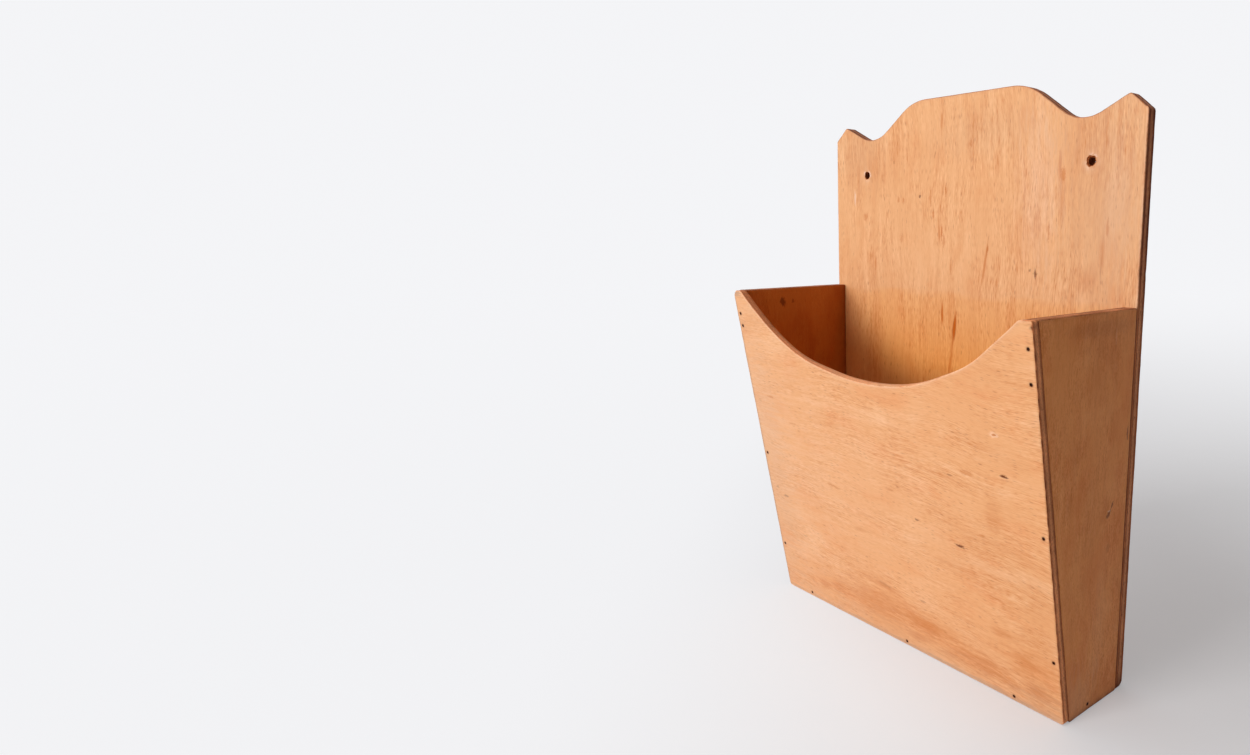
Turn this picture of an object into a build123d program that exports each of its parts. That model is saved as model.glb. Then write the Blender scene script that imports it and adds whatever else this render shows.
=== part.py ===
from build123d import *
from math import atan2, cos, degrees, pi, sin, tan
import os

# A wall mail organizer: a plywood pocket with a scooped, leaning front on a taller shaped back.
# Five plywood panels, nailed and glued. Nothing on it moves. Sizes are in millimetres.
# X runs to the right of someone facing the front, Y runs back to the wall and Z is up.
# The origin is on the ground, under the middle of the box that holds the whole organizer.

# Pocket
WIDTH = 270.0
POCKET_HEIGHT = 243.0
TOP_DEPTH = 107.5
BASE_DEPTH = 63.5

# Plywood
BACK_THICKNESS = 8.0
SIDE_THICKNESS = 8.0
BOTTOM_THICKNESS = 8.0
FRONT_THICKNESS = 5.0

# Back outline: insets run in from its side edges, drops run down from its crown
BACK_HEIGHT = 376.0
SHOULDER_DROP = 22.3
EAR_TIP_INSET = 11.7
EAR_TIP_DROP = 12.7
EAR_TIP_RADIUS = 1.2
VALLEY_INSET = 43.8
VALLEY_DROP = 27.7
VALLEY_RADIUS = 27.0
CROWN_CORNER_INSET = 84.0
CROWN_RADIUS = 39.0
BACK_FOOT_RADIUS = 4.0

# Screw holes that hang it on a wall, with how far each one's mouth is worn wider at the face
HANGING_HOLE_DIAMETER = 4.8
HANGING_HOLE_MOUTH = 0.8
HANGING_HOLE_INSET = 35.4
HANGING_HOLE_DROP = 49.2

# Scoop in the front, measured on the front's own slope
SCOOP_LAND = 9.0
SCOOP_DEPTH = 52.5
SCOOP_LIP_RADIUS = 3.0

# Nails: round pins punched a little below the surface
NAIL_SHANK_DIAMETER = 1.1
NAIL_HEAD_DIAMETER = 1.7
NAIL_HEAD_THICKNESS = 0.7
NAIL_POINT_LENGTH = 1.8
NAIL_SINK = 0.4
NAIL_CLEARANCE = 0.05
FRONT_NAIL_LENGTH = 16.0
LONG_NAIL_LENGTH = 20.0

# Nails down the two edges of the front, measured on its slope
LEFT_FOOT_NAIL_RISE = 39.5
LEFT_MIDDLE_NAIL_OFFSET = -4.5
LEFT_TOP_NAIL_DROPS = (26.4, 17.2)
RIGHT_FOOT_NAIL_RISE = 42.8
RIGHT_MIDDLE_NAIL_OFFSET = 0.4
RIGHT_TOP_NAIL_DROPS = (34.0, 14.9)

# Nails along the foot of the front
FOOT_NAIL_RISE = 3.2
FOOT_NAIL_LEFT_INSET = 30.0
FOOT_NAIL_MIDDLE_OFFSET = 3.0
FOOT_NAIL_RIGHT_INSET = 37.0

# One nail through each side into the bottom's end, forward of the bottom's middle
BOTTOM_NAIL_FORWARD_OFFSET = 6.0

# Nails through the back, which can't be seen from the front
BACK_FOOT_NAIL_RISE = 34.0
BACK_TOP_NAIL_DROP = 24.0
BACK_BOTTOM_NAIL_INSET = 70.0

# Places that follow from the sizes above
HALF_WIDTH = WIDTH / 2
WALL_Y = TOP_DEPTH / 2
BACK_FRONT_Y = WALL_Y - BACK_THICKNESS
FRONT_FOOT_Y = WALL_Y - BASE_DEPTH
FRONT_TOP_Y = WALL_Y - TOP_DEPTH
LEAN = atan2(TOP_DEPTH - BASE_DEPTH, POCKET_HEIGHT)
SLOPE_HEIGHT = POCKET_HEIGHT / cos(LEAN)
FRONT_LEVEL_THICKNESS = FRONT_THICKNESS / cos(LEAN)
SIDE_MIDDLE_X = HALF_WIDTH - SIDE_THICKNESS / 2
BOTTOM_MIDDLE_Z = BOTTOM_THICKNESS / 2
CUT_MARGIN = 5.0

# The front's outer face: x to the right, y up its slope, z out of the wood
FRONT_FACE = Plane(origin=(0, FRONT_FOOT_Y, 0), x_dir=(1, 0, 0), z_dir=(0, -cos(LEAN), -sin(LEAN)))
# The back's rear face seen from the wall: x to the left of someone facing the front, y up
BACK_FACE = Plane(origin=(0, WALL_Y, 0), x_dir=(-1, 0, 0), z_dir=(0, 1, 0))


def front_y(height, inset=0.0):
    """Y of the leaning front at a height, on its outer face or a level distance behind it."""
    return FRONT_FOOT_Y + (FRONT_TOP_Y - FRONT_FOOT_Y) * height / POCKET_HEIGHT + inset


def panel_across(profile, x_from, x_to):
    """A solid with one (y, z) profile from x_from to x_to."""
    face = make_face(Polyline(*profile, close=True))
    return extrude(Plane.YZ.offset(x_from) * face, amount=x_to - x_from)


def nail_profile(length, clearance=0.0, mouth=0.0):
    """Half section of a nail whose head's top is at the origin and whose point is at -Z.

    With a clearance it is the space that the nail fills: wider and deeper than the nail,
    but with the floor that the head seats on at the same depth.
    """
    head = NAIL_HEAD_DIAMETER / 2 + clearance
    shank = NAIL_SHANK_DIAMETER / 2 + clearance
    end = length + clearance
    return Polyline(
        (0, mouth),
        (head, mouth),
        (head, -NAIL_HEAD_THICKNESS),
        (shank, -NAIL_HEAD_THICKNESS),
        (shank, -(length - NAIL_POINT_LENGTH)),
        (shank / 4, -end),
        (0, -end),
        close=True,
    )


def turned(profile):
    """The solid that a half section in the XZ plane makes about the Z axis."""
    return revolve(Plane.XZ * make_face(profile), axis=Axis.Z)


def nails_at(places, length):
    """A group of separate nails, one at each place."""
    return [place * turned(nail_profile(length)) for place in places]


def nail_spaces(places, length):
    """The spaces that nails_at fills, open to the surface over each head."""
    return [place * turned(nail_profile(length, NAIL_CLEARANCE, CUT_MARGIN)) for place in places]


def front_places(points):
    """Nail places on the front, from points (x, distance up the slope)."""
    return [FRONT_FACE * Location((x, rise, -NAIL_SINK)) for x, rise in points]


def back_places(points):
    """Nail places on the back's rear face, from points (x, z)."""
    return [BACK_FACE * Location((-x, z, -NAIL_SINK)) for x, z in points]


def side_place(side):
    """The nail place low on a side's outer face, -1 for the left side and 1 for the right."""
    middle_y = (BACK_FRONT_Y + front_y(BOTTOM_MIDDLE_Z, FRONT_LEVEL_THICKNESS)) / 2
    origin = (side * HALF_WIDTH, middle_y - BOTTOM_NAIL_FORWARD_OFFSET, BOTTOM_MIDDLE_Z)
    face = Plane(origin=origin, x_dir=(0, side, 0), z_dir=(side, 0, 0))
    return face * Location((0, 0, -NAIL_SINK))


def front_edge_points(side, foot_rise, middle_offset, top_drops):
    """Nail points up one edge of the front: foot, middle and the pair at the top."""
    rises = [foot_rise, SLOPE_HEIGHT / 2 + middle_offset]
    rises += [SLOPE_HEIGHT - drop for drop in top_drops]
    return [(side * SIDE_MIDDLE_X, rise) for rise in rises]


def back_edge_points(side):
    """Nail points up one edge of the back, into the side panel's rear edge."""
    foot = BACK_FOOT_NAIL_RISE
    top = POCKET_HEIGHT - BACK_TOP_NAIL_DROP
    return [(side * SIDE_MIDDLE_X, z) for z in (foot, (foot + top) / 2, top)]


def nail_groups():
    """Every group of nails: its name, its places, its length and the panels it goes through."""
    foot_row = [
        (-HALF_WIDTH + FOOT_NAIL_LEFT_INSET, FOOT_NAIL_RISE),
        (FOOT_NAIL_MIDDLE_OFFSET, FOOT_NAIL_RISE),
        (HALF_WIDTH - FOOT_NAIL_RIGHT_INSET, FOOT_NAIL_RISE),
    ]
    left_edge = front_edge_points(
        -1, LEFT_FOOT_NAIL_RISE, LEFT_MIDDLE_NAIL_OFFSET, LEFT_TOP_NAIL_DROPS
    )
    right_edge = front_edge_points(
        1, RIGHT_FOOT_NAIL_RISE, RIGHT_MIDDLE_NAIL_OFFSET, RIGHT_TOP_NAIL_DROPS
    )
    back_row_x = HALF_WIDTH - BACK_BOTTOM_NAIL_INSET
    back_row = [(x, BOTTOM_MIDDLE_Z) for x in (-back_row_x, back_row_x)]
    return [
        ("front_left_nails", front_places(left_edge), FRONT_NAIL_LENGTH, "front_panel", "left_side"),
        ("front_right_nails", front_places(right_edge), FRONT_NAIL_LENGTH, "front_panel", "right_side"),
        ("front_bottom_nails", front_places(foot_row), FRONT_NAIL_LENGTH, "front_panel", "bottom_panel"),
        ("left_bottom_nail", [side_place(-1)], LONG_NAIL_LENGTH, "left_side", "bottom_panel"),
        ("right_bottom_nail", [side_place(1)], LONG_NAIL_LENGTH, "right_side", "bottom_panel"),
        ("back_left_nails", back_places(back_edge_points(-1)), LONG_NAIL_LENGTH, "back_panel", "left_side"),
        ("back_right_nails", back_places(back_edge_points(1)), LONG_NAIL_LENGTH, "back_panel", "right_side"),
        ("back_bottom_nails", back_places(back_row), LONG_NAIL_LENGTH, "back_panel", "bottom_panel"),
    ]


def hanging_hole():
    """The space of one screw hole, with the back's rear face at Z 0: a bore with a widened mouth."""
    radius = HANGING_HOLE_DIAMETER / 2
    bore = Cylinder(radius, BACK_THICKNESS + 2 * CUT_MARGIN)
    mouth = Cone(radius + HANGING_HOLE_MOUTH, radius, HANGING_HOLE_MOUTH)
    middle = Location((0, 0, -BACK_THICKNESS / 2))
    at_face = Location((0, 0, HANGING_HOLE_MOUTH / 2 - BACK_THICKNESS))
    return middle * bore + at_face * mouth


def back_panel():
    """The back: square at the foot, with two pointed ears and a broad crown along its top."""
    shoulder = (HALF_WIDTH, BACK_HEIGHT - SHOULDER_DROP)
    tip = (HALF_WIDTH - EAR_TIP_INSET, BACK_HEIGHT - EAR_TIP_DROP)
    valley = (HALF_WIDTH - VALLEY_INSET, BACK_HEIGHT - VALLEY_DROP)
    crown = (HALF_WIDTH - CROWN_CORNER_INSET, BACK_HEIGHT)
    right = [(HALF_WIDTH, 0), shoulder, tip, valley, crown]
    left = [(-x, z) for x, z in reversed(right)]
    outline = make_face(Polyline(*right, *left, close=True))
    for corner, radius in ((tip, EAR_TIP_RADIUS), (valley, VALLEY_RADIUS), (crown, CROWN_RADIUS)):
        for side in (-1, 1):
            point = Vector(side * corner[0], corner[1])
            vertex = outline.vertices().sort_by_distance(point)[0]
            outline = fillet(vertex, radius)
    panel = extrude(BACK_FACE * outline, amount=-BACK_THICKNESS)
    foot_edge = panel.edges().filter_by(Axis.X).sort_by_distance((0, WALL_Y, 0))[0]
    panel = fillet(foot_edge, BACK_FOOT_RADIUS)
    hole_x = HALF_WIDTH - HANGING_HOLE_INSET
    hole_z = BACK_HEIGHT - HANGING_HOLE_DROP
    for side in (-1, 1):
        panel -= BACK_FACE * Location((side * hole_x, hole_z, 0)) * hanging_hole()
    return panel


def front_panel():
    """The front: a leaning sheet, level at its foot and lands, with the scoop cut square to it."""
    profile = [
        (front_y(0), 0),
        (front_y(0, FRONT_LEVEL_THICKNESS), 0),
        (front_y(POCKET_HEIGHT, FRONT_LEVEL_THICKNESS), POCKET_HEIGHT),
        (front_y(POCKET_HEIGHT), POCKET_HEIGHT),
    ]
    panel = panel_across(profile, -HALF_WIDTH, HALF_WIDTH)
    lip_x = HALF_WIDTH - SCOOP_LAND
    arc = ThreePointArc((-lip_x, SLOPE_HEIGHT), (0, SLOPE_HEIGHT - SCOOP_DEPTH), (lip_x, SLOPE_HEIGHT))
    above = Polyline(
        (lip_x, SLOPE_HEIGHT),
        (lip_x, SLOPE_HEIGHT + CUT_MARGIN),
        (-lip_x, SLOPE_HEIGHT + CUT_MARGIN),
        (-lip_x, SLOPE_HEIGHT),
    )
    scoop = extrude(FRONT_FACE * make_face(arc + above), amount=2 * FRONT_THICKNESS, both=True)
    panel -= scoop
    middle_y = (front_y(POCKET_HEIGHT) + front_y(POCKET_HEIGHT, FRONT_LEVEL_THICKNESS)) / 2
    lips = [(side * lip_x, middle_y, POCKET_HEIGHT) for side in (-1, 1)]
    for lip in lips:
        edge = panel.edges().sort_by_distance(lip)[0]
        panel = fillet(edge, SCOOP_LIP_RADIUS)
    return panel


def side_panel(side):
    """A side, between the back and the front, with its front edge cut to the lean."""
    profile = [
        (BACK_FRONT_Y, 0),
        (BACK_FRONT_Y, POCKET_HEIGHT),
        (front_y(POCKET_HEIGHT, FRONT_LEVEL_THICKNESS), POCKET_HEIGHT),
        (front_y(0, FRONT_LEVEL_THICKNESS), 0),
    ]
    ends = sorted((side * HALF_WIDTH, side * (HALF_WIDTH - SIDE_THICKNESS)))
    return panel_across(profile, *ends)


def bottom_panel():
    """The bottom, flush with the ground edges, filling the space between the four walls."""
    profile = [
        (BACK_FRONT_Y, 0),
        (BACK_FRONT_Y, BOTTOM_THICKNESS),
        (front_y(BOTTOM_THICKNESS, FRONT_LEVEL_THICKNESS), BOTTOM_THICKNESS),
        (front_y(0, FRONT_LEVEL_THICKNESS), 0),
    ]
    reach = HALF_WIDTH - SIDE_THICKNESS
    return panel_across(profile, -reach, reach)


def build():
    """Every node by name, as one solid or a list of separate solids."""
    panels = {
        "back_panel": back_panel(),
        "left_side": side_panel(-1),
        "right_side": side_panel(1),
        "front_panel": front_panel(),
        "bottom_panel": bottom_panel(),
    }
    nails = {}
    for name, places, length, outer, inner in nail_groups():
        nails[name] = nails_at(places, length)
        for panel in (outer, inner):
            for space in nail_spaces(places, length):
                panels[panel] -= space
    return {**panels, **nails}


def main():
    """Write each node to its own file."""
    os.makedirs("parts", exist_ok=True)
    for name, shape in build().items():
        solids = shape if isinstance(shape, list) else [shape]
        node = Compound(children=[solid for piece in solids for solid in piece.solids()])
        node.label = name
        export_step(node, f"parts/{name}.step")
        print(f"{name}: {len(node.solids())} solids, {node.volume:.0f} mm3")


main()
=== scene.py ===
"""The looks of a plywood wall mail organizer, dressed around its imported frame.

Sizes are in millimetres until a mesh is made, which puts them in metres. X runs to the right of
someone facing the front, Y runs back to the wall and Z is up.
"""

import logging
from abc import ABC, abstractmethod
from dataclasses import dataclass
from enum import Enum, IntEnum
from math import atan2, cos, pi, sin, tan

import bpy
import numpy as np
from mathutils import Matrix, Vector


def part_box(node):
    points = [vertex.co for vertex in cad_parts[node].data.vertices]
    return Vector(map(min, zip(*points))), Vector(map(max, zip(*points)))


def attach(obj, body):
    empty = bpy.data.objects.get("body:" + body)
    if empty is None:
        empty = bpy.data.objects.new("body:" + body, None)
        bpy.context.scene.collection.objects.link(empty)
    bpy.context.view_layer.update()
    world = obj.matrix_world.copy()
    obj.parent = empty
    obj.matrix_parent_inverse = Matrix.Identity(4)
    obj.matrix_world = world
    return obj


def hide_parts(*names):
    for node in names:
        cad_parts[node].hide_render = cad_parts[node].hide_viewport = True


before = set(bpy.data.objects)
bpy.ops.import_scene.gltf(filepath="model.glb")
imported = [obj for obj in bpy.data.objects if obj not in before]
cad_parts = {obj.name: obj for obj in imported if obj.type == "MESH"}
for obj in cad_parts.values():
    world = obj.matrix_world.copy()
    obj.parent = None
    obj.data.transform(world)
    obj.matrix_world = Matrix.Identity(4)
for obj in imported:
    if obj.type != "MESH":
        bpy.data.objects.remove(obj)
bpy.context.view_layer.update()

MM = 0.001

Array = np.ndarray
Colour = tuple[float, float, float]
Triple = tuple[float, float, float]
Socket = bpy.types.NodeSocket

# The third trait carries painted shade as well as grime, and the fourth is painted shade inside the pocket.
TRAITS = ("rim", "rubbed", "grime_and_shade", "pocket_shade")

log = logging.getLogger("mail_organizer")


class Layer(IntEnum):
    """The material slots of a board."""

    FACE = 0
    REAR = 1
    EDGE = 2
    SOCKET = 3


class Grain(Enum):
    """Which way the face veneer's grain runs on a board."""

    ALONG = "along"
    UP = "up"


class Hand(IntEnum):
    """A side of the organizer, as someone facing its front names it."""

    LEFT = -1
    RIGHT = 1


# Numpy surfaces


def stations(low: float, high: float, step: float, clusters: list[Array], least: float = 0.14) -> Array:
    """Places from low to high: those of each cluster, and even steps across the gaps that they leave.

    Args:
        low: First place.
        high: Last place.
        step: Longest gap between two places.
        clusters: Places that are kept, apart from any nearer to an earlier one than least.
        least: Shortest gap.

    Returns:
        The sorted places.
    """
    kept = [low, high]
    for place in np.concatenate(clusters):
        inside = low < place < high
        if inside and min(abs(place - other) for other in kept) >= least:
            kept.append(float(place))
    fixed = np.sort(np.array(kept))
    counts = np.maximum(1, np.ceil(np.diff(fixed) / step - 1e-6).astype(int))
    runs = [np.linspace(a, b, n, endpoint=False) for a, b, n in zip(fixed[:-1], fixed[1:], counts)]
    return np.append(np.concatenate(runs), high)


def ring_of(grid: Array) -> Array:
    """The rim of a grid as one loop, along its first axis, then its second, and back.

    Args:
        grid: An array whose first two axes are the grid's.

    Returns:
        The rim's entries, each once.
    """
    return np.concatenate([grid[:-1, 0], grid[-1, :-1], grid[:0:-1, -1], grid[0, :0:-1]])


def eased_ring(points: Array, reach: Array, fine: float = 0.05) -> Array:
    """A closed outline with its corners eased.

    Each point becomes the mean of the outline over a distance reach to each side of it, which leaves
    straight runs as they are and turns a corner into a short curve. The mean is the difference of
    the outline's running sum at the two ends, over the distance between them.

    Args:
        points: The outline, N by 2.
        reach: The distance for each point.
        fine: Step of the running sum.

    Returns:
        The eased outline, N by 2.
    """
    closed = np.concatenate([points, points[:1]])
    run = np.concatenate([[0.0], np.cumsum(np.linalg.norm(np.diff(closed, axis=0), axis=1))])
    margin = float(reach.max()) + 1.0
    walk = np.arange(-margin, run[-1] + margin, fine)
    track = np.stack([np.interp(np.mod(walk, run[-1]), run, closed[:, k]) for k in (0, 1)], axis=1)
    total = np.concatenate([[[0.0, 0.0]], np.cumsum((track[1:] + track[:-1]) * fine / 2, axis=0)])
    after, before = (
        np.stack([np.interp(run[:-1] + side * reach, walk, total[:, k]) for k in (0, 1)], axis=1)
        for side in (1, -1)
    )
    return (after - before) / (2 * reach)[:, None]


def inward(ring: Array) -> Array:
    """Unit directions into a counter-clockwise outline: the step between each point's neighbours,
    turned a quarter turn to the left.

    Args:
        ring: The outline, N by 2.

    Returns:
        The directions, N by 2.
    """
    step = np.roll(ring, -1, axis=0) - np.roll(ring, 1, axis=0)
    turned = np.stack([-step[:, 1], step[:, 0]], axis=1)
    return turned / np.linalg.norm(turned, axis=1)[:, None]


def ripple(places: Array, length: float, seed: int, waves: int = 7) -> Array:
    """A smooth uneven value from about -1 to 1: a sum of sines of the places, each with its own
    random direction, wavelength near length, and start.

    Args:
        places: Points, any shape with the coordinates last.
        length: Typical wavelength.
        seed: Makes one ripple differ from another.
        waves: How many sines are summed.

    Returns:
        One value for each point.
    """
    random = np.random.default_rng(seed)
    directions = random.normal(size=(waves, places.shape[-1]))
    directions /= np.linalg.norm(directions, axis=1)[:, None]
    pitch = length * random.uniform(0.6, 1.7, waves)
    start = random.uniform(0, 2 * pi, waves)
    phase = places @ (directions * (2 * pi / pitch)[:, None]).T + start
    return np.sin(phase).sum(axis=-1) / np.sqrt(waves * 1.6)


def patches(a: Array, b: Array, length: float, seed: int, middle: float = 0.5, swing: float = 0.5) -> Array:
    """Uneven patches over a board, from 0 to 1: a middle value plus a ripple times a swing."""
    return np.clip(middle + swing * ripple(np.stack([a, b], axis=-1), length, seed), 0, 1)


def bell(away: Array) -> Array:
    """A bell shape: e to the minus the square of the distance."""
    return np.exp(-(away**2))


def strongest(*parts: Array) -> Array:
    """The largest of several values at each point."""
    return np.maximum.reduce(np.broadcast_arrays(*parts))


def broken_line(x: Array, corners: list[tuple[float, float, float]]) -> Array:
    """Heights of a broken line whose inner corners are rounded by arcs.

    Between corners it is straight. Within an arc's reach of a corner, the height is the arc
    centre's, plus or minus the root of the radius squared less the offset from the centre squared.

    Args:
        x: Where the heights are wanted.
        corners: (x, height, radius) of each corner, with x rising.

    Returns:
        The heights.
    """
    points = np.array([corner[:2] for corner in corners])
    heights = np.interp(x, points[:, 0], points[:, 1])
    for before, here, after, corner in zip(points[:-2], points[1:-1], points[2:], corners[1:-1]):
        radius = corner[2]
        back = (before - here) / np.linalg.norm(before - here)
        on = (after - here) / np.linalg.norm(after - here)
        half = np.arccos(np.clip(back @ on, -1, 1)) / 2
        reach = radius / np.tan(half)
        middle = here + (back + on) / np.linalg.norm(back + on) * radius / np.sin(half)
        low, high = (here + back * reach)[0], (here + on * reach)[0]
        rise = np.sqrt(np.maximum(radius**2 - (x - middle[0]) ** 2, 0))
        arc = middle[1] - rise if middle[1] > here[1] else middle[1] + rise
        heights = np.where((x > low) & (x < high), arc, heights)
    return heights


@dataclass(frozen=True)
class Trace:
    """A trace of wear, dirt or painted shade: its strength, and the distance in millimetres over which it
    fades.
    """

    strength: float
    reach: float

    def at(self, distance: Array) -> Array:
        """The strength, times e to the minus distance over reach."""
        return self.strength * np.exp(-distance / self.reach)

    def around(self, distance: Array) -> Array:
        """The strength, times a bell as wide as the reach."""
        return self.strength * bell(distance / self.reach)


class Patchwork:
    """Gathers grids of points into one closed mesh, with what each point carries."""

    def __init__(self) -> None:
        """Starts with no points."""
        self.points: list[Array] = []
        self.wood: list[Array] = []
        self.traits: list[Array] = []
        self.faces: list[Array] = []
        self.layers: list[Array] = []
        self.count = 0

    def add(self, points: Array, wood: Array, traits: Array) -> Array:
        """Adds points.

        Args:
            points: Places in millimetres, coordinates last.
            wood: Distances along the grain, across it and down from the face, last axis 3.
            traits: The value of each of TRAITS, last axis 4.

        Returns:
            Each point's index, in the shape of the block that was added.
        """
        shape = points.shape[:-1]
        size = int(np.prod(shape))
        self.points.append(points.reshape(size, 3))
        self.wood.append(wood.reshape(size, 3))
        self.traits.append(traits.reshape(size, len(TRAITS)))
        self.count += size
        return np.arange(self.count - size, self.count).reshape(shape)

    def add_plain(self, points: Array) -> Array:
        """Adds points that carry nothing, and returns their indices."""
        return self.add(points, np.zeros_like(points), np.zeros((*points.shape[:-1], len(TRAITS))))

    def skin(self, index: Array, layer: Layer, flip: bool = False, keep: Array | None = None) -> None:
        """Quads between the neighbours of an index grid.

        Args:
            index: Indices, first axis to the right and second axis up, as seen from outside.
            layer: The material slot.
            flip: Whether the surface is seen from the other side.
            keep: Which cells get a quad, where not all do.
        """
        quads = np.stack([index[:-1, :-1], index[1:, :-1], index[1:, 1:], index[:-1, 1:]], axis=-1)
        quads = quads[keep] if keep is not None else quads.reshape(-1, 4)
        self.faces.append(quads[:, ::-1] if flip else quads)
        self.layers.append(np.full(len(quads), int(layer)))

    def cap(self, ring: Array, pole: int, layer: Layer, flip: bool = False) -> None:
        """Triangles from a closed ring of indices to one point.

        Args:
            ring: The ring's indices.
            pole: The point's index.
            layer: The material slot.
            flip: Whether the surface is seen from the other side.
        """
        fan = np.stack([ring, np.roll(ring, -1), np.full(len(ring), pole)], axis=1)
        self.faces.append(fan[:, ::-1] if flip else fan)
        self.layers.append(np.full(len(ring), int(layer)))

    def mesh(self, name: str) -> bpy.types.Object:
        """Makes the object, in metres, without the points that no face uses.

        Args:
            name: The piece's name.

        Returns:
            The new object, at the origin.
        """
        used = np.unique(np.concatenate([face.ravel() for face in self.faces]))
        renumber = np.full(self.count, -1)
        renumber[used] = np.arange(len(used))
        faces = [corner for block in self.faces for corner in renumber[block].tolist()]
        data = bpy.data.meshes.new(name)
        data.from_pydata((np.concatenate(self.points)[used] * MM).tolist(), [], faces)
        wood = data.attributes.new("wood", "FLOAT_VECTOR", "POINT")
        wood.data.foreach_set("vector", np.concatenate(self.wood)[used].astype(np.float32).ravel())
        traits = np.concatenate(self.traits)[used].astype(np.float32)
        for column, trait in enumerate(TRAITS):
            layer = data.attributes.new(trait, "FLOAT", "POINT")
            layer.data.foreach_set("value", np.ascontiguousarray(traits[:, column]))
        data.polygons.foreach_set("material_index", np.concatenate(self.layers).astype(np.int32))
        data.polygons.foreach_set("use_smooth", np.ones(len(data.polygons), bool))
        data.update()
        piece = bpy.data.objects.new(name, data)
        bpy.context.scene.collection.objects.link(piece)
        return piece


# Materials


class Recipe:
    """A material or a world in the making: each method adds one node and returns what it gives."""

    def __init__(self, owner: bpy.types.Material | bpy.types.World) -> None:
        """Starts with no nodes."""
        owner.use_nodes = True
        self.owner = owner
        self.nodes = owner.node_tree.nodes
        self.links = owner.node_tree.links
        self.nodes.clear()

    def feed(self, socket: Socket, value: object) -> None:
        """Links a node's output to a socket, or sets the socket to a plain value."""
        if isinstance(value, bpy.types.NodeSocket):
            self.links.new(value, socket)
        elif value is not None:
            socket.default_value = value

    def trait(self, name: str) -> Socket:
        """One of the values that each point of a board carries."""
        node = self.nodes.new("ShaderNodeAttribute")
        node.attribute_name = name
        return node.outputs["Fac"]

    def wood(self) -> Socket:
        """The place in the wood: along the grain, across it and down from the face."""
        node = self.nodes.new("ShaderNodeAttribute")
        node.attribute_name = "wood"
        return node.outputs["Vector"]

    def place(self) -> Socket:
        """Object coordinates."""
        return self.nodes.new("ShaderNodeTexCoord").outputs["Object"]

    def split(self, vector: Socket) -> tuple[Socket, Socket, Socket]:
        """The three parts of a vector."""
        node = self.nodes.new("ShaderNodeSeparateXYZ")
        self.feed(node.inputs[0], vector)
        return tuple(node.outputs)

    def join(self, x: object, y: object, z: object) -> Socket:
        """A vector from three parts."""
        node = self.nodes.new("ShaderNodeCombineXYZ")
        for socket, value in zip(node.inputs, (x, y, z)):
            self.feed(socket, value)
        return node.outputs[0]

    def scaled(self, vector: Socket, factors: Triple, shift: Triple = (0.0, 0.0, 0.0)) -> Socket:
        """A vector times factors, plus a shift."""
        node = self.nodes.new("ShaderNodeVectorMath")
        node.operation = "MULTIPLY_ADD"
        self.feed(node.inputs[0], vector)
        node.inputs[1].default_value = factors
        node.inputs[2].default_value = shift
        return node.outputs[0]

    def measure(self, operation: str, vector: Socket, other: Triple | None = None) -> Socket:
        """A number worked out from a vector, such as its length."""
        node = self.nodes.new("ShaderNodeVectorMath")
        node.operation = operation
        self.feed(node.inputs[0], vector)
        self.feed(node.inputs[1], other)
        return node.outputs["Value"]

    def math(self, operation: str, first: object, second: object = None) -> Socket:
        """One operation on numbers."""
        node = self.nodes.new("ShaderNodeMath")
        node.operation = operation
        self.feed(node.inputs[0], first)
        self.feed(node.inputs[1], second)
        return node.outputs[0]

    def plus(self, first: object, second: object) -> Socket:
        """The sum of two numbers."""
        return self.math("ADD", first, second)

    def less(self, first: object, second: object) -> Socket:
        """The first number less the second."""
        return self.math("SUBTRACT", first, second)

    def times(self, first: object, second: object) -> Socket:
        """The product of two numbers."""
        return self.math("MULTIPLY", first, second)

    def swing(self, noise: Socket, reach: float) -> Socket:
        """A noise moved to run about 0, times a reach."""
        return self.times(self.less(noise, 0.5), reach)

    def ramp(self, value: Socket, low: float, high: float, start: float = 0.0, end: float = 1.0) -> Socket:
        """A smooth step from start, where the value is low, to end, where it is high."""
        node = self.nodes.new("ShaderNodeMapRange")
        node.interpolation_type = "SMOOTHSTEP"
        self.feed(node.inputs["Value"], value)
        for socket, number in zip(("From Min", "From Max", "To Min", "To Max"), (low, high, start, end)):
            node.inputs[socket].default_value = number
        return node.outputs[0]

    def noise(
        self,
        vector: Socket,
        pitch: Triple,
        detail: float = 2.0,
        roughness: float = 0.5,
        shift: Triple = (0.0, 0.0, 0.0),
    ) -> Socket:
        """Smooth noise.

        Args:
            vector: Where it is read.
            pitch: Its wavelength along each of the vector's directions.
            detail: How many finer noises are added.
            roughness: How strong the finer ones are.
            shift: Moves the pattern, in wavelengths.

        Returns:
            A number about 0.5.
        """
        node = self.nodes.new("ShaderNodeTexNoise")
        self.feed(node.inputs["Vector"], self.scaled(vector, tuple(1 / part for part in pitch), shift))
        node.inputs["Scale"].default_value = 1.0
        node.inputs["Detail"].default_value = detail
        node.inputs["Roughness"].default_value = roughness
        return node.outputs["Fac"]

    def cells(self, vector: Socket) -> tuple[Socket, Socket]:
        """Distance to the nearest of scattered points about 1 apart, and a random number for it."""
        node = self.nodes.new("ShaderNodeTexVoronoi")
        self.feed(node.inputs["Vector"], vector)
        node.inputs["Scale"].default_value = 1.0
        node.inputs["Randomness"].default_value = 1.0
        return node.outputs["Distance"], self.split(node.outputs["Color"])[0]

    def blend(self, amount: object, first: object, second: object, mode: str = "MIX") -> Socket:
        """Two colours blended by an amount."""
        node = self.nodes.new("ShaderNodeMix")
        node.data_type = "RGBA"
        node.blend_type = mode
        self.feed(node.inputs[0], amount)
        for socket, value in zip((node.inputs[6], node.inputs[7]), (first, second)):
            self.feed(socket, (*value, 1.0) if isinstance(value, tuple) else value)
        return node.outputs[2]

    def laid(self, colour: Socket, coat: Colour, trait: Socket, patchy: Socket) -> Socket:
        """A colour with a coat over it, as thick as a trait of the board times a patchy value."""
        return self.blend(self.math("MINIMUM", self.times(trait, patchy), 1.0), colour, coat)

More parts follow.
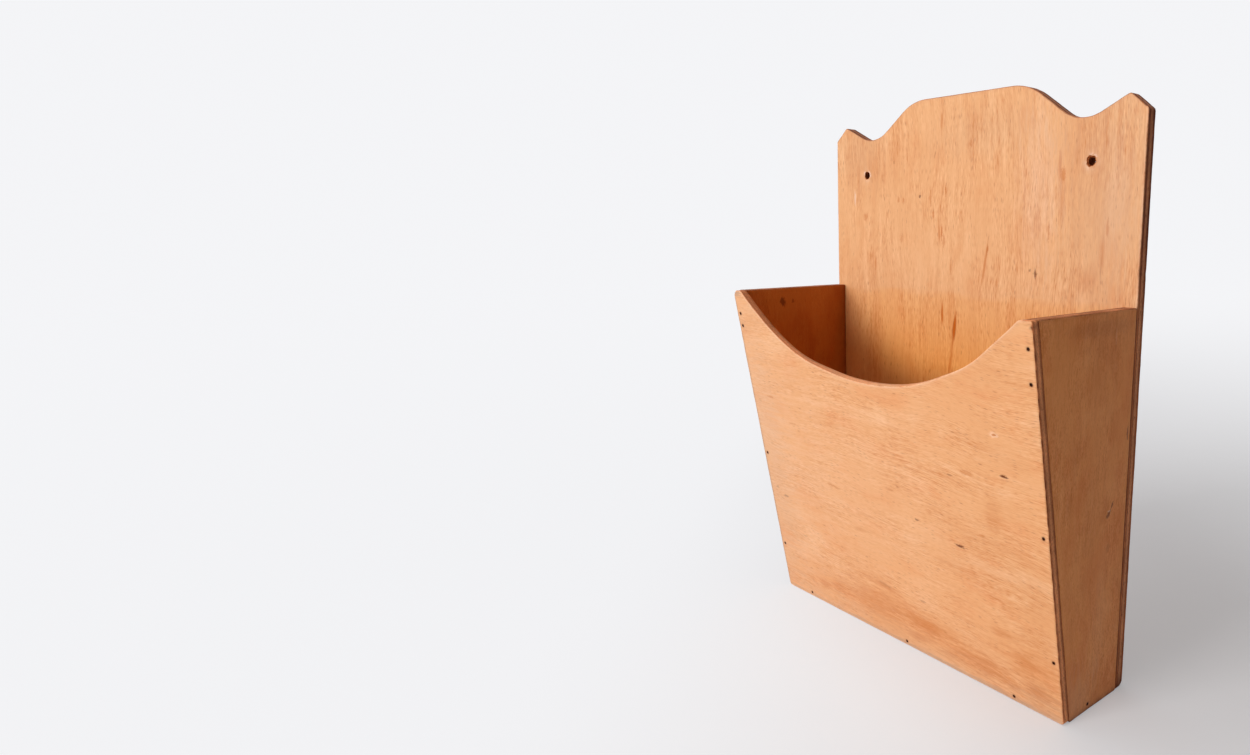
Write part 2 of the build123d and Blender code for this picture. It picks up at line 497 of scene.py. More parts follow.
    def shade(self, colour: Socket, factor: Socket) -> Socket:
        """A colour times a number."""
        node = self.nodes.new("ShaderNodeVectorMath")
        node.operation = "SCALE"
        self.feed(node.inputs[0], colour)
        self.feed(node.inputs["Scale"], factor)
        return node.outputs[0]

    def bump(self, height: Socket, distance: float, strength: float = 1.0) -> Socket:
        """A normal tilted by a height that runs from 0 to 1 over a distance in metres."""
        node = self.nodes.new("ShaderNodeBump")
        self.feed(node.inputs["Height"], height)
        node.inputs["Distance"].default_value = distance
        node.inputs["Strength"].default_value = strength
        return node.outputs[0]

    def surface(self, colour: object, roughness: object, normal: Socket | None, **constants: float) -> None:
        """Finishes the material with a principled shader.

        Args:
            colour: Base colour.
            roughness: Roughness.
            normal: Bumped normal, if any.
            constants: Other sockets by name, with underscores for spaces, set on the shader itself.
        """
        shader = self.nodes.new("ShaderNodeBsdfPrincipled")
        self.feed(shader.inputs["Base Color"], (*colour, 1.0) if isinstance(colour, tuple) else colour)
        self.feed(shader.inputs["Roughness"], roughness)
        self.feed(shader.inputs["Normal"], normal)
        for name, value in constants.items():
            shader.inputs[name.replace("_", " ")].default_value = value
        self.output(shader.outputs[0])

    def seen(self) -> Socket:
        """1 for a ray from the eye, also by way of a reflection or through glass, and else 0."""
        path = self.nodes.new("ShaderNodeLightPath")
        seen = self.math("MAXIMUM", path.outputs["Is Camera Ray"], path.outputs["Is Glossy Ray"])
        return self.math("MAXIMUM", seen, path.outputs["Is Transmission Ray"])

    def plain(self, kind: str, colour: object, strength: float | None = None) -> Socket:
        """A diffuse, emission or background shader of one colour."""
        node = self.nodes.new(kind)
        self.feed(node.inputs["Color"], (*colour, 1.0) if isinstance(colour, tuple) else colour)
        if strength is not None:
            node.inputs["Strength"].default_value = strength
        return node.outputs[0]

    def either(self, amount: Socket, first: Socket, second: Socket) -> Socket:
        """Two shaders mixed by an amount."""
        node = self.nodes.new("ShaderNodeMixShader")
        for socket, value in zip(node.inputs, (amount, first, second)):
            self.feed(socket, value)
        return node.outputs[0]

    def output(self, shader: Socket) -> None:
        """Links a shader to the output of the material or the world."""
        kind = "World" if isinstance(self.owner, bpy.types.World) else "Material"
        end = self.nodes.new(f"ShaderNodeOutput{kind}")
        self.links.new(shader, end.inputs["Surface"])


class Tone(Enum):
    """Which of a veneer's colours a mark takes."""

    DARK = "knot"
    RUDDY = "deep"
    FAIR = "pale"
    PALE = "rubbed"
    DUSTY = "dusty"


@dataclass(frozen=True)
class Mark:
    """A knot, streak or fleck in a veneer: an ellipse, in millimetres of the wood's own directions,
    turned by a lean, which is how far it moves across for each millimetre along."""

    along: float
    across: float
    length: float
    width: float
    strength: float
    tone: Tone = Tone.DARK
    lean: float = 0.0


# A mark longer than this is a broad one. A fade is where a mark starts and ends to thin out, counted in
# its own half sizes, and a swing is how far the noise moves that.
BROAD_MARK = 12.0
FINE_FADE = (0.55, 1.45)
BROAD_FADE = (0.0, 1.75)
FINE_SWING = 2.6
BROAD_SWING = 3.2


def marks_of(tone: Tone, *rows: tuple[float, ...]) -> tuple[Mark, ...]:
    """Marks of one tone, each from a row (along, across, length, width, strength, and any lean)."""
    return tuple(Mark(*row[:5], tone, *row[5:]) for row in rows)


@dataclass(frozen=True)
class Stroke:
    """One size of the short streaks that fill a veneer: length and width in millimetres, how dark
    the dark ones are and how light the light ones."""

    length: float
    width: float
    dark: float
    light: float


@dataclass(frozen=True)
class Pore:
    """One size of pore: the pitch and width of its field in millimetres, the size of a dash as a
    share of them, and how deep the deepest dash is."""

    pitch: float
    width: float
    size: float
    share: float


PORES = (Pore(5.5, 1.15, 0.40, 0.8), Pore(9.0, 2.1, 0.26, 1.0))
STROKE_SHIFT = 17.0
VARNISH_SPECULAR = 0.12
EDGE_SPECULAR = 0.05
SOCKET_SPECULAR = 0.03
NAIL_SPECULAR = 0.12

# Wavelengths of the noises, in millimetres along the grain, across it and down from the face
SHEET_WAVES = (60, 26, 1)
CROWD_WAVES = (30, 9, 1)
WANDER_WAVES = (80, 60, 1)
PATCH_WAVES = (55, 24, 1)
FACE_WEAR_WAVES = (5, 5, 1)
FINE_WAVES = (1 / 0.45, 1 / 1.3, 1 / 0.3)
BROAD_WAVES = (1 / 0.055, 1 / 0.34, 1 / 0.3)
RAGGED_WAVES = (3.5, 3.5, 1 / 0.6)
FIBRE_WAVES = (1.4, 1.4, 0.35)
PLY_WAVES = (22, 22, 6)
BLOT_WAVES = (4.2, 4.2, 1.3)
EDGE_WEAR_WAVES = (4, 4, 2)

# Smooth steps of a noise: where it starts and ends, and what it gives there
LIVELY_SHEET = (0.35, 0.65, 0.30, 1.0)
PORE_CROWD = (0.35, 0.70, 0.25, 1.0)
WORN_RIM = (0.35, 0.65)
GRIME_PATCHES = (0.2, 0.6, 0.5, 1.1)
FACE_BARE_PATCHES = (0.25, 0.55, 0.35, 1.0)
EDGE_BARE_PATCHES = (0.25, 0.60, 0.2, 1.0)
FIBRE_SHADE = (0.25, 0.75, 0.70, 1.22)
PLY_SHADE = (0.3, 0.7, 0.80, 1.15)


@dataclass(frozen=True)
class Veneer:
    """Varnished face veneer: golden and ruddy patches, streaks of many sizes, pores and marks."""

    name: str
    strokes: tuple[Stroke, ...]
    golden: Colour = (0.800, 0.400, 0.186)
    ruddy: Colour = (0.780, 0.348, 0.150)
    pale: Colour = (0.90, 0.550, 0.320)
    deep: Colour = (0.54, 0.148, 0.018)
    pore: Colour = (0.30, 0.060, 0.008)
    knot: Colour = (0.130, 0.018, 0.001)
    rubbed: Colour = (0.84, 0.63, 0.50)
    # Grey of dust, and also of the painted contact shade along the front's foot
    dusty: Colour = (0.455, 0.295, 0.206)
    grime_and_shade: Colour = (0.110, 0.015, 0.004)
    ruddy_share: float = 0.45
    pores: float = 0.5
    slant: float = 0.06
    wander: float = 13.0
    rim_dark: float = 0.18
    rim_reach: float = 3.2
    relief: float = 0.00001
    # Tint that multiplies the colour as painted shade inside the pocket
    pocket_shade_tint: Colour = (1.0, 0.80, 0.44)
    gloss: float = 0.38
    seed: float = 0.0
    marks: tuple[Mark, ...] = ()

    def marked(self, mix: Recipe, colour: Socket, wood: Socket) -> Socket:
        """Lays the marks over a colour: each is deep where the distance from its centre, counted in
        its own half length and half width, is under 1, give or take a fine or a coarse noise.

        Args:
            mix: The material.
            colour: The colour so far.
            wood: The place in the wood.

        Returns:
            The marked colour.
        """
        if not self.marks:
            return colour
        fine = mix.swing(mix.noise(wood, FINE_WAVES, 4.0, 0.6), FINE_SWING)
        coarse = mix.swing(mix.noise(wood, BROAD_WAVES, 6.0, 0.66), BROAD_SWING)
        grain, across, depth = mix.split(wood)
        for mark in self.marks:
            place = wood
            if mark.lean:
                place = mix.join(grain, mix.less(across, mix.times(grain, mark.lean)), depth)
            middle = mark.across - mark.along * mark.lean
            factors = (2 / mark.length, 2 / mark.width, 0.0)
            shift = (-2 * mark.along / mark.length, -2 * middle / mark.width, 0.0)
            away = mix.measure("LENGTH", mix.scaled(place, factors, shift))
            broad = mark.length > BROAD_MARK
            spread = mix.plus(away, coarse if broad else fine)
            amount = mix.ramp(spread, *(BROAD_FADE if broad else FINE_FADE), mark.strength, 0.0)
            colour = mix.blend(amount, colour, getattr(self, mark.tone.value))
        return colour

    def streaked(self, mix: Recipe, colour: Socket, wood: Socket) -> tuple[Socket, Socket]:
        """Lays the short streaks over a colour: each size is smooth noise drawn out along the grain,
        whose high parts darken and low parts lighten, more in some parts of the sheet than in others.

        Args:
            mix: The material.
            colour: The colour so far.
            wood: The place in the wood.

        Returns:
            The streaked colour, and the finest of the noises.
        """
        finest = None
        sheet = mix.noise(wood, SHEET_WAVES, shift=(5.0, 9.0, 0.0))
        lively = mix.ramp(sheet, *LIVELY_SHEET)
        for index, stroke in enumerate(self.strokes):
            shift = (0.0, STROKE_SHIFT * index, 0.0)
            value = mix.noise(wood, (stroke.length, stroke.width, 1), 1.0, shift=shift)
            darker = mix.times(mix.ramp(value, 0.50, 0.74, 0.0, stroke.dark), lively)
            colour = mix.blend(darker, colour, self.deep)
            lighter = mix.times(mix.ramp(value, 0.50, 0.26, 0.0, stroke.light), lively)
            colour = mix.blend(lighter, colour, self.pale)
            finest = finest or value
        return colour, finest

    def pored(self, mix: Recipe, wood: Socket) -> Socket:
        """How far into a pore a place is: dashes round scattered points, some deep and most faint,
        thicker on the ground in some parts than in others."""
        dashes = []
        for pore in PORES:
            factors = (1 / pore.pitch, 1 / pore.width, 1.0)
            distance, chance = mix.cells(mix.scaled(wood, factors, (0.0, pore.pitch, 0.0)))
            dash = mix.ramp(distance, pore.size * 0.2, pore.size, 1.0, 0.0)
            dashes.append(mix.times(dash, mix.ramp(chance, 0.25, 1.0, 0.0, pore.share)))
        pores = mix.math("MAXIMUM", *dashes)
        return mix.times(pores, mix.ramp(mix.noise(wood, CROWD_WAVES), *PORE_CROWD))

    def material(self) -> bpy.types.Material:
        """Makes the material."""
        mix = Recipe(bpy.data.materials.new(self.name))
        grain, across, depth = mix.split(mix.wood())
        along = mix.plus(grain, self.seed)
        deeper = mix.times(depth, 3.0)
        wander = mix.swing(mix.noise(mix.join(along, across, deeper), WANDER_WAVES, 1.0), self.wander)
        leant = mix.plus(mix.plus(across, wander), mix.times(grain, self.slant))
        wood = mix.join(along, leant, deeper)

        broad = mix.noise(wood, PATCH_WAVES, 4.0, 0.6)
        low, high = 0.62 - self.ruddy_share * 0.35, 0.80 - self.ruddy_share * 0.25
        colour = mix.blend(mix.ramp(broad, low, high), self.golden, self.ruddy)
        colour, fibre = self.streaked(mix, colour, wood)
        pores = self.pored(mix, wood)
        colour = mix.blend(mix.times(pores, self.pores), colour, self.pore)
        colour = self.marked(mix, colour, mix.wood())
        # Painted shade: inside the pocket the colour is multiplied by a deeper tint.
        colour = mix.blend(mix.trait("pocket_shade"), colour, mix.blend(1.0, colour, self.pocket_shade_tint, "MULTIPLY"))

        worn = mix.noise(wood, FACE_WEAR_WAVES, 4.0, 0.65)
        near = mix.ramp(mix.trait("rim"), 0.0, self.rim_reach, self.rim_dark, 0.0)
        colour = mix.blend(mix.times(near, mix.ramp(worn, *WORN_RIM)), colour, self.deep)
        # Grime darkens the colour here, and so does the painted shade that the same trait carries in the
        # pocket's corners and along the sides' feet.
        colour = mix.laid(colour, self.grime_and_shade, mix.trait("grime_and_shade"), mix.ramp(worn, *GRIME_PATCHES))
        colour = mix.laid(colour, self.rubbed, mix.trait("rubbed"), mix.ramp(worn, *FACE_BARE_PATCHES))

        normal = mix.bump(mix.less(mix.times(fibre, 0.5), pores), self.relief, 0.6)
        patchy = mix.ramp(broad, 0.3, 0.7, self.gloss - 0.04, self.gloss + 0.06)
        rough = mix.plus(patchy, mix.times(pores, 0.2))
        mix.surface(colour, rough, normal, Specular_IOR_Level=VARNISH_SPECULAR)
        return mix.owner


FRONT_STROKES = (
    Stroke(4.5, 0.42, 0.54, 0.62),
    Stroke(14.0, 0.70, 0.32, 0.40),
    Stroke(40.0, 2.0, 0.20, 0.28),
    Stroke(60.0, 15.0, 0.16, 0.34),
)
BACK_STROKES = (
    Stroke(5.0, 0.45, 0.60, 0.66),
    Stroke(15.0, 0.80, 0.30, 0.36),
    Stroke(44.0, 2.4, 0.22, 0.28),
    Stroke(70.0, 9.0, 0.20, 0.30),
)
SIDE_STROKES = (
    Stroke(1.8, 0.6, 0.50, 0.62),
    Stroke(6.0, 1.1, 0.36, 0.44),
    Stroke(16.0, 4.0, 0.20, 0.25),
    Stroke(34.0, 16.0, 0.26, 0.24),
)


@dataclass(frozen=True)
class Ply:
    """One veneer of a sheet as its cut edge shows it: the depth that it ends at, and its tone."""

    end: float
    tone: Colour


@dataclass(frozen=True)
class CutEdge:
    """Sawn edge of plywood: its plies, the glue lines between them and its worn arrises."""

    name: str
    plies: tuple[Ply, ...]
    glue: Colour = (0.075, 0.012, 0.003)
    rubbed: Colour = (0.88, 0.53, 0.32)
    grime_and_shade: Colour = (0.085, 0.012, 0.003)
    glue_half: float = 0.24
    glue_strength: float = 0.80
    blots: float = 0.5
    raggedness: float = 0.7
    relief: float = 0.00018
    seed: float = 0.0

    def material(self) -> bpy.types.Material:
        """Makes the material. A ply shows where the depth, made a little ragged, is past the ply
        before it, and glue where it is within glue_half of the line between two plies."""
        mix = Recipe(bpy.data.materials.new(self.name))
        grain, across, depth = mix.split(mix.wood())
        place = mix.join(mix.plus(grain, self.seed), across, depth)
        ragged = mix.noise(place, RAGGED_WAVES, 3.0, 0.6)
        level = mix.plus(depth, mix.swing(ragged, self.raggedness))
        colour = self.plies[0].tone
        for before, ply in zip(self.plies[:-1], self.plies[1:]):
            colour = mix.blend(mix.ramp(level, before.end - 0.1, before.end + 0.1), colour, ply.tone)
        for ply in self.plies[:-1]:
            away = mix.math("ABSOLUTE", mix.less(level, ply.end))
            line = mix.ramp(away, self.glue_half * 0.4, self.glue_half, self.glue_strength, 0.0)
            colour = mix.blend(line, colour, self.glue)
        fibre = mix.noise(place, FIBRE_WAVES, 3.0, 0.6)
        colour = mix.shade(colour, mix.ramp(fibre, *FIBRE_SHADE))
        colour = mix.shade(colour, mix.ramp(mix.noise(place, PLY_WAVES), *PLY_SHADE))
        blot = mix.noise(place, BLOT_WAVES)
        colour = mix.blend(mix.ramp(blot, 0.56, 0.70, 0.0, self.blots), colour, self.glue)
        worn = mix.noise(place, EDGE_WEAR_WAVES, 4.0, 0.65)
        # As on the faces, the trait laid here is grime together with painted shade.
        colour = mix.laid(colour, self.grime_and_shade, mix.trait("grime_and_shade"), mix.ramp(worn, *GRIME_PATCHES))
        colour = mix.laid(colour, self.rubbed, mix.trait("rubbed"), mix.ramp(worn, *EDGE_BARE_PATCHES))
        normal = mix.bump(mix.plus(fibre, mix.times(blot, 0.5)), self.relief, 0.7)
        mix.surface(colour, mix.ramp(fibre, 0.3, 0.7, 0.50, 0.70), normal, Specular_IOR_Level=EDGE_SPECULAR)
        return mix.owner


@dataclass(frozen=True)
class SocketStain:
    """Crushed, stained wood in a nail's socket or a screw hole."""

    name: str
    dark: Colour = (0.032, 0.004, 0.001)
    light: Colour = (0.13, 0.028, 0.005)
    speckle: float = 1 / 1400

    def material(self) -> bpy.types.Material:
        """Makes the material."""
        mix = Recipe(bpy.data.materials.new(self.name))
        speckle = mix.noise(mix.place(), (self.speckle,) * 3, 3.0, 0.6)
        colour = mix.blend(mix.ramp(speckle, 0.42, 0.68), self.dark, self.light)
        rough = mix.ramp(speckle, 0.3, 0.7, 0.6, 0.9)
        mix.surface(colour, rough, mix.bump(speckle, 0.0001, 0.6), Specular_IOR_Level=SOCKET_SPECULAR)
        return mix.owner


@dataclass(frozen=True)
class NailSteel:
    """Steel of old panel pins, dull and browned."""

    name: str = "nail_steel"
    bright: Colour = (0.060, 0.022, 0.011)
    browned: Colour = (0.024, 0.006, 0.002)
    speckle: float = 1 / 1900

    def material(self) -> bpy.types.Material:
        """Makes the material."""
        mix = Recipe(bpy.data.materials.new(self.name))
        speckle = mix.noise(mix.place(), (self.speckle,) * 3, 4.0, 0.6)
        rust = mix.ramp(speckle, 0.42, 0.66, 1.0, 0.25)
        colour = mix.blend(rust, self.bright, self.browned)
        rough = mix.ramp(speckle, 0.35, 0.65, 0.75, 0.42)
        relief = mix.bump(speckle, 0.00004, 0.6)
        mix.surface(colour, rough, relief, Metallic=0.2, Specular_IOR_Level=NAIL_SPECULAR)
        return mix.owner


Finish = Veneer | CutEdge | SocketStain


# Boards


@dataclass(frozen=True)
class Placement:
    """Where a board's own directions lie: along it, up it, and out of its outer face."""

    origin: Triple
    along: Triple
    up: Triple
    outward: Triple

    def spot(self, a: Array, b: Array, depth: Array) -> Array:
        """Places in millimetres: the origin, plus a times along, plus b times up, less the depth
        times outward.

        Args:
            a: Distances along the board.
            b: Distances up it.
            depth: Distances under its face.

        Returns:
            The places, last axis 3.
        """
        parts = zip((a, b, -depth), (self.along, self.up, self.outward))
        return np.array(self.origin) + sum(part[..., None] * np.array(way) for part, way in parts)


@dataclass(frozen=True)
class Bore:
    """A round hole in a board, blind if it has a depth, on the outer face unless it is on the rear.

    The lip is how much wider its rounded mouth is, lip_depth how deep the mouth goes where that
    isn't the same, skew how far the mouth is off its axis, and far_lip the mouth at the other
    face. The margin is the width of the cells round the mouth, chipping its unevenness, and bared
    how much bare wood shows round it.
    """

    a: float
    b: float
    radius: float
    depth: float | None = None
    rear: bool = False
    lip: float = 0.10
    margin: float = 0.85
    chipping: float = 0.0
    stain: Trace = Trace(0.70, 0.35)
    bared: float = 0.0
    bared_reach: float = 0.9
    lip_depth: float | None = None
    skew: tuple[float, float] = (0.0, 0.0)
    far_lip: float = 0.15


@dataclass(frozen=True)
class Nick:
    """A place where an arris is knocked off more: where it is, how wide and how deep."""

    a: float
    b: float
    width: float
    depth: float

    def at(self, ring: Array) -> Array:
        """How much it adds at each point: its depth, times a bell of its width."""
        return self.depth * bell(np.hypot(ring[:, 0] - self.a, ring[:, 1] - self.b) / self.width)


@dataclass(frozen=True)
class Arris:
    """How far the edges of a board's two faces are sanded and worn round, in millimetres."""

    front: float = 0.42
    rear: float = 0.36
    unevenness: float = 0.35
    corner: float = 1.3
    nicks: tuple[Nick, ...] = ()
    rounded: tuple[Nick, ...] = ()


@dataclass
class Board(ABC):
    """One sheet of plywood: two faces on one grid of stations, an edge carried round its outline,
    and its holes.

    The faces are functions of two stations, u along the board and v up it. Near the outline they
    are drawn in by the arris, and that move fades over a short distance. The edge is a quarter
    circle at each arris and a straight run between, for every point of the outline.
    """

    measures: "Measures"
    step: float = 3.0
    draw_reach: float = 9.0
    swell: float = 0.07
    swell_length: float = 95.0
    swell_rim: float = 9.0
    saw_mark: float = 0.035
    saw_length: float = 7.0
    long_wear: float = 38.0
    short_wear: float = 9.0
    small_bore: float = 2.0
    least_arris: float = 0.12
    most_arris: float = 1.3
    end_steps: tuple[float, ...] = (0.3, 0.7, 1.25, 2.1, 3.4, 5.2)
    edge_parts: tuple[float, ...] = (0.12, 0.27, 0.42, 0.58, 0.73, 0.88)
    arris_turns: tuple[float, ...] = (0.2, 0.4, 0.6, 0.8)
    bore_turns: tuple[float, ...] = (0.25, 0.5, 0.75, 1.0)
    arris: Arris = Arris()
    grain: Grain = Grain.UP
    seed: int = 1

    @property
    @abstractmethod
    def node(self) -> str:
        """The CAD node that the board stands for."""

    @property
    @abstractmethod
    def slot(self) -> str:
        """The record's material slot."""

    @property
    @abstractmethod
    def placement(self) -> Placement:
        """Where the board lies."""

    @property
    @abstractmethod
    def spans(self) -> tuple[float, float, float, float]:
        """First and last u, then first and last v."""

    @property
    @abstractmethod
    def thickness(self) -> float:
        """Thickness of the sheet."""

    @property
    def bores(self) -> tuple[Bore, ...]:
        """The board's holes."""
        return ()

    @abstractmethod
    def lay(self, u: Array, v: Array, depth: float) -> Array:
        """Where stations lie, before any wear.

        Args:
            u: Stations along the board.
            v: Stations up it.
            depth: How deep under the face.

        Returns:
            The (a, b) of each, last axis 2.
        """

    def seek(self, a: float, b: float) -> tuple[float, float]:
        """The stations of a point of the outer face: the place itself, where lay keeps it."""
        return a, b

    def landmarks(self) -> tuple[list[Array], list[Array]]:
        """Further u and v stations that the outline's own features need."""
        return [], []

    def wear(self, a: Array, b: Array, depth: Array, rim: Array) -> tuple[Array, Array]:
        """How worn and grimy the surface is, and where shade is painted on it.

        Args:
            a: Places along the board.
            b: Places up it.
            depth: How deep they are under the face.
            rim: How far they are from the outline, 0 on the edge.

        Returns:
            How rubbed it is, and how dark from grime and painted shade, from 0 to about 1.
        """
        return np.zeros_like(a), np.zeros_like(a)

    def towards_rear(self, depth: Array) -> Array:
        """0 on the front half of the sheet, rising to 1 just short of its rear."""
        return np.clip((depth / self.thickness - 0.6) / 0.3, 0, 1)

    @abstractmethod
    def finishes(self) -> tuple[Finish, ...]:
        """A finish for each Layer, in order."""

    def pocket_shade(self, a: Array, b: Array) -> Array:
        """How much painted shade deepens the colour, from 0 to 1."""
        return np.zeros_like(a)

    def grid_stations(self) -> tuple[Array, Array]:
        """Sorted u and v stations, closer at the ends and round each hole."""
        ends = np.array(self.end_steps)
        found = []
        for axis, (low, high) in enumerate((self.spans[:2], self.spans[2:])):
            clusters = [low + ends, high - ends]
            for bore in self.bores:
                reach = bore.radius + bore.lip + bore.margin
                middle = self.seek(bore.a, bore.b)[axis]
                cells = 4 if bore.radius < self.small_bore else 8
                clusters.insert(0, middle + np.linspace(-reach, reach, cells + 1))
            found.append(stations(low, high, self.step, clusters + self.landmarks()[axis]))
        return found[0], found[1]

    def wood_of(self, a: Array, b: Array, depth: Array) -> Array:
        """Distance along the grain, across it and down from the face."""
        along, across = (a, b) if self.grain is Grain.ALONG else (b, a)
        return np.stack([along, across, depth], axis=-1)

    def arris_radii(self, ring: Array, base: float, seed: int) -> Array:
        """The radius of an arris round the outline: its base, times one plus a long ripple and one
        plus half a short one, plus a bell shaped rise at each nick.

        Args:
            ring: The outline.
            base: The mean radius.
            seed: Makes one arris differ from another.

        Returns:
            The radius at each point.
        """
        radii = base * (1 + self.arris.unevenness * ripple(ring, self.long_wear, seed))
        radii *= 1 + 0.5 * self.arris.unevenness * ripple(ring, self.short_wear, seed + 1)
        for nick in self.arris.nicks:
            radii += nick.at(ring)
        return np.clip(radii, self.least_arris, self.most_arris)

    def outline(self, u: Array, v: Array, depth: float) -> Array:
        """The board's outline at a depth, with its corners eased."""
        grid = self.lay(*np.meshgrid(u, v, indexing="ij"), depth)
        ring = ring_of(grid)
        reach = np.full(len(ring), self.arris.corner)
        for nick in self.arris.rounded:
            reach += nick.at(ring)
        return eased_ring(ring, reach)

    def drawn(self, u: Array, v: Array, plain: Array, ring: Array) -> Array:
        """A face's grid with its rim moved onto a ring.

        The move at an inner point is the sum of the moves at the ends of its row and column, each
        times a weight that falls from 1 at that end to 0 at draw_reach, less the corners' moves
        times both their weights.

        Args:
            u: First stations.
            v: Second stations.
            plain: The grid before it is moved.
            ring: Where its rim goes.

        Returns:
            The moved grid.
        """
        move = ring - ring_of(plain)
        nu, nv = len(u), len(v)
        bottom = move[:nu]
        right = move[nu - 1 : nu - 1 + nv]
        top = move[nu + nv - 2 : 2 * nu + nv - 2][::-1]
        left = np.concatenate([move[2 * nu + nv - 3 :], move[:1]])[::-1]
        from_ends = (u - u[0], u[-1] - u, v - v[0], v[-1] - v)
        weights = [np.clip(1 - away / self.draw_reach, 0, 1) for away in from_ends]
        to_left, to_right = (weight[:, None, None] for weight in weights[:2])
        to_low, to_high = (weight[None, :, None] for weight in weights[2:])
        field = left[None] * to_left + right[None] * to_right
        field = field + bottom[:, None] * to_low + top[:, None] * to_high
        field -= (left[0] * to_left + right[0] * to_right) * to_low
        field -= (left[-1] * to_left + right[-1] * to_right) * to_high
        return plain + field

    def rim_distance(self, grid: Array, ring: Array) -> Array:
        """Distance of each grid point from the outline, worked out a column at a time."""
        columns = [np.linalg.norm(column[:, None] - ring[None], axis=-1).min(axis=1) for column in grid]
        return np.stack(columns)

    def sunk(self, points: Array, rim: Array) -> Array:
        """How far a face stands in from flat: a long ripple that dies away at the rim."""
        long_ripple = 0.5 + 0.5 * ripple(points, self.swell_length, self.seed)
        return self.swell * long_ripple * (1 - np.exp(-rim / self.swell_rim))

    def put(self, work: Patchwork, flat: Array, depth: Array, rim: Array) -> Array:
        """Adds board points, with the wood, the wear and the painted shade that belong to them.

        Args:
            work: The mesh.
            flat: The (a, b) of each point.
            depth: How deep each is under the face.
            rim: How far each is from the outline.

        Returns:
            Their indices.
        """
        a, b = flat[..., 0], flat[..., 1]
        rubbed, grime_and_shade = self.wear(a, b, depth, rim)
        grime_and_shade = np.maximum(grime_and_shade, self.bore_grime_and_shade(a, b, depth))
        rubbed = np.maximum(rubbed, self.bore_baring(a, b, depth))
        traits = np.stack([rim, rubbed, grime_and_shade, self.pocket_shade(a, b)], axis=-1)
        return work.add(self.placement.spot(a, b, depth), self.wood_of(a, b, depth), traits)

    def bore_grime_and_shade(self, a: Array, b: Array, depth: Array) -> Array:
        """Stain round each hole: strongest at its lip, gone a few millimetres out."""
        stain = np.zeros_like(a)
        for bore in self.bores:
            here = depth > self.thickness / 2 if bore.rear else depth < self.thickness / 2
            if bore.depth is None:
                here = np.ones_like(a, bool)
            away = np.hypot(a - bore.a, b - bore.b) - bore.radius - bore.lip
            stain = np.maximum(stain, here * bore.stain.at(np.maximum(away, 0)))
        return stain

    def bore_baring(self, a: Array, b: Array, depth: Array) -> Array:
        """Bare wood on the face just outside a hole that a screw's head has worn, in patches."""
        bare = np.zeros_like(a)
        for bore in self.bores:
            away = np.hypot(a - bore.a, b - bore.b) - bore.radius - bore.lip
            outside = (away > -0.05) & (depth < 1)
            worn = patches(a, b, 5.0, 91, swing=0.6) * Trace(bore.bared, bore.bared_reach).at(np.abs(away))
            bare = np.maximum(bare, outside * worn)
        return bare

    def build(self) -> bpy.types.Object:
        """Builds the board's mesh."""
        work = Patchwork()
        u, v = self.grid_stations()
        mesh_u, mesh_v = np.meshgrid(u, v, indexing="ij")
        grids, flats, depths, radii = [], [], [], []
        blocks = self.blocks(u, v)
        for rear, base in ((False, self.arris.front), (True, self.arris.rear)):
            level = self.thickness if rear else 0.0
            plain = self.lay(mesh_u, mesh_v, level)
            outline = self.outline(u, v, level)
            radius = self.arris_radii(outline, base, self.seed * 10 + rear)
            flat = self.drawn(u, v, plain, outline + radius[:, None] * inward(outline))
            rim = self.rim_distance(flat, outline)
            sunk = self.sunk(flat, rim)
            depth = level - sunk if rear else sunk
            ring_of_depth = ring_of(depth)
            keep = np.ones((len(u) - 1, len(v) - 1), bool)
            for bore, (i0, i1, j0, j1) in blocks:
                if bore.depth is None or bore.rear == rear:
                    keep[i0:i1, j0:j1] = False
            grid = self.put(work, flat, depth, rim)
            work.skin(grid, Layer.REAR if rear else Layer.FACE, flip=rear, keep=keep)
            grids.append(grid)
            flats.append(flat)
            depths.append(depth)
            radii.append((radius, ring_of_depth))
        self.edge(work, u, v, grids, radii)
        for bore, block in blocks:
            self.bored(work, bore, block, grids, flats, depths)
        return work.mesh(self.node.replace("_panel", "") + "_board")

    def edge(self, work: Patchwork, u: Array, v: Array, grids: list[Array], radii: list) -> None:
        """The band between the faces: for each point of the outline a quarter circle at the front
        arris, a straight run, and a quarter circle at the rear arris.

        Args:
            work: The mesh.
            u: Stations along the board.
            v: Stations up it.
            grids: The indices of the two faces' grids.
            radii: For each face, the arris's radius and the face's depth round the outline.
        """
        (front, front_depth), (rear, rear_depth) = radii
        quarter = np.array(self.arris_turns) * pi / 2
        rows = [(front * (1 - np.sin(t)), front_depth + front * (1 - np.cos(t))) for t in quarter]
        start, stop = front_depth + front, rear_depth - rear
        parts = (0.0, *self.edge_parts, 1.0)
        rows += [(np.zeros_like(front), start + (stop - start) * part) for part in parts]
        rows += [(rear * (1 - np.sin(t)), rear_depth - rear * (1 - np.cos(t))) for t in quarter[::-1]]
        lines = [ring_of(grids[0])]
        for inset, depth in rows:
            middle = float(depth.mean())
            outline = self.outline(u, v, middle)
            saw = self.saw_mark * ripple(outline, self.saw_length, self.seed * 10 + 5)[:, None]
            flat = outline + (inset[:, None] + saw) * inward(outline)
            lines.append(self.put(work, flat, depth, np.zeros_like(depth)))
        lines.append(ring_of(grids[1]))
        band = np.stack(lines, axis=1)
        work.skin(np.concatenate([band, band[:1]]), Layer.EDGE, flip=True)

    def blocks(self, u: Array, v: Array) -> list[tuple[Bore, tuple[int, int, int, int]]]:
        """The cells that each hole takes out of the grid.

        Args:
            u: Stations along the board.
            v: Stations up it.

        Returns:
            Each hole with its first and last cells along and up the board.
        """
        found = []
        for bore in self.bores:
            reach = bore.radius + bore.lip + bore.margin
            iu, iv = self.seek(bore.a, bore.b)
            near = [int(np.argmin(np.abs(u - (iu + s * reach)))) for s in (-1, 1)]
            rise = [int(np.argmin(np.abs(v - (iv + s * reach)))) for s in (-1, 1)]
            found.append((bore, (*near, *rise)))
        return found

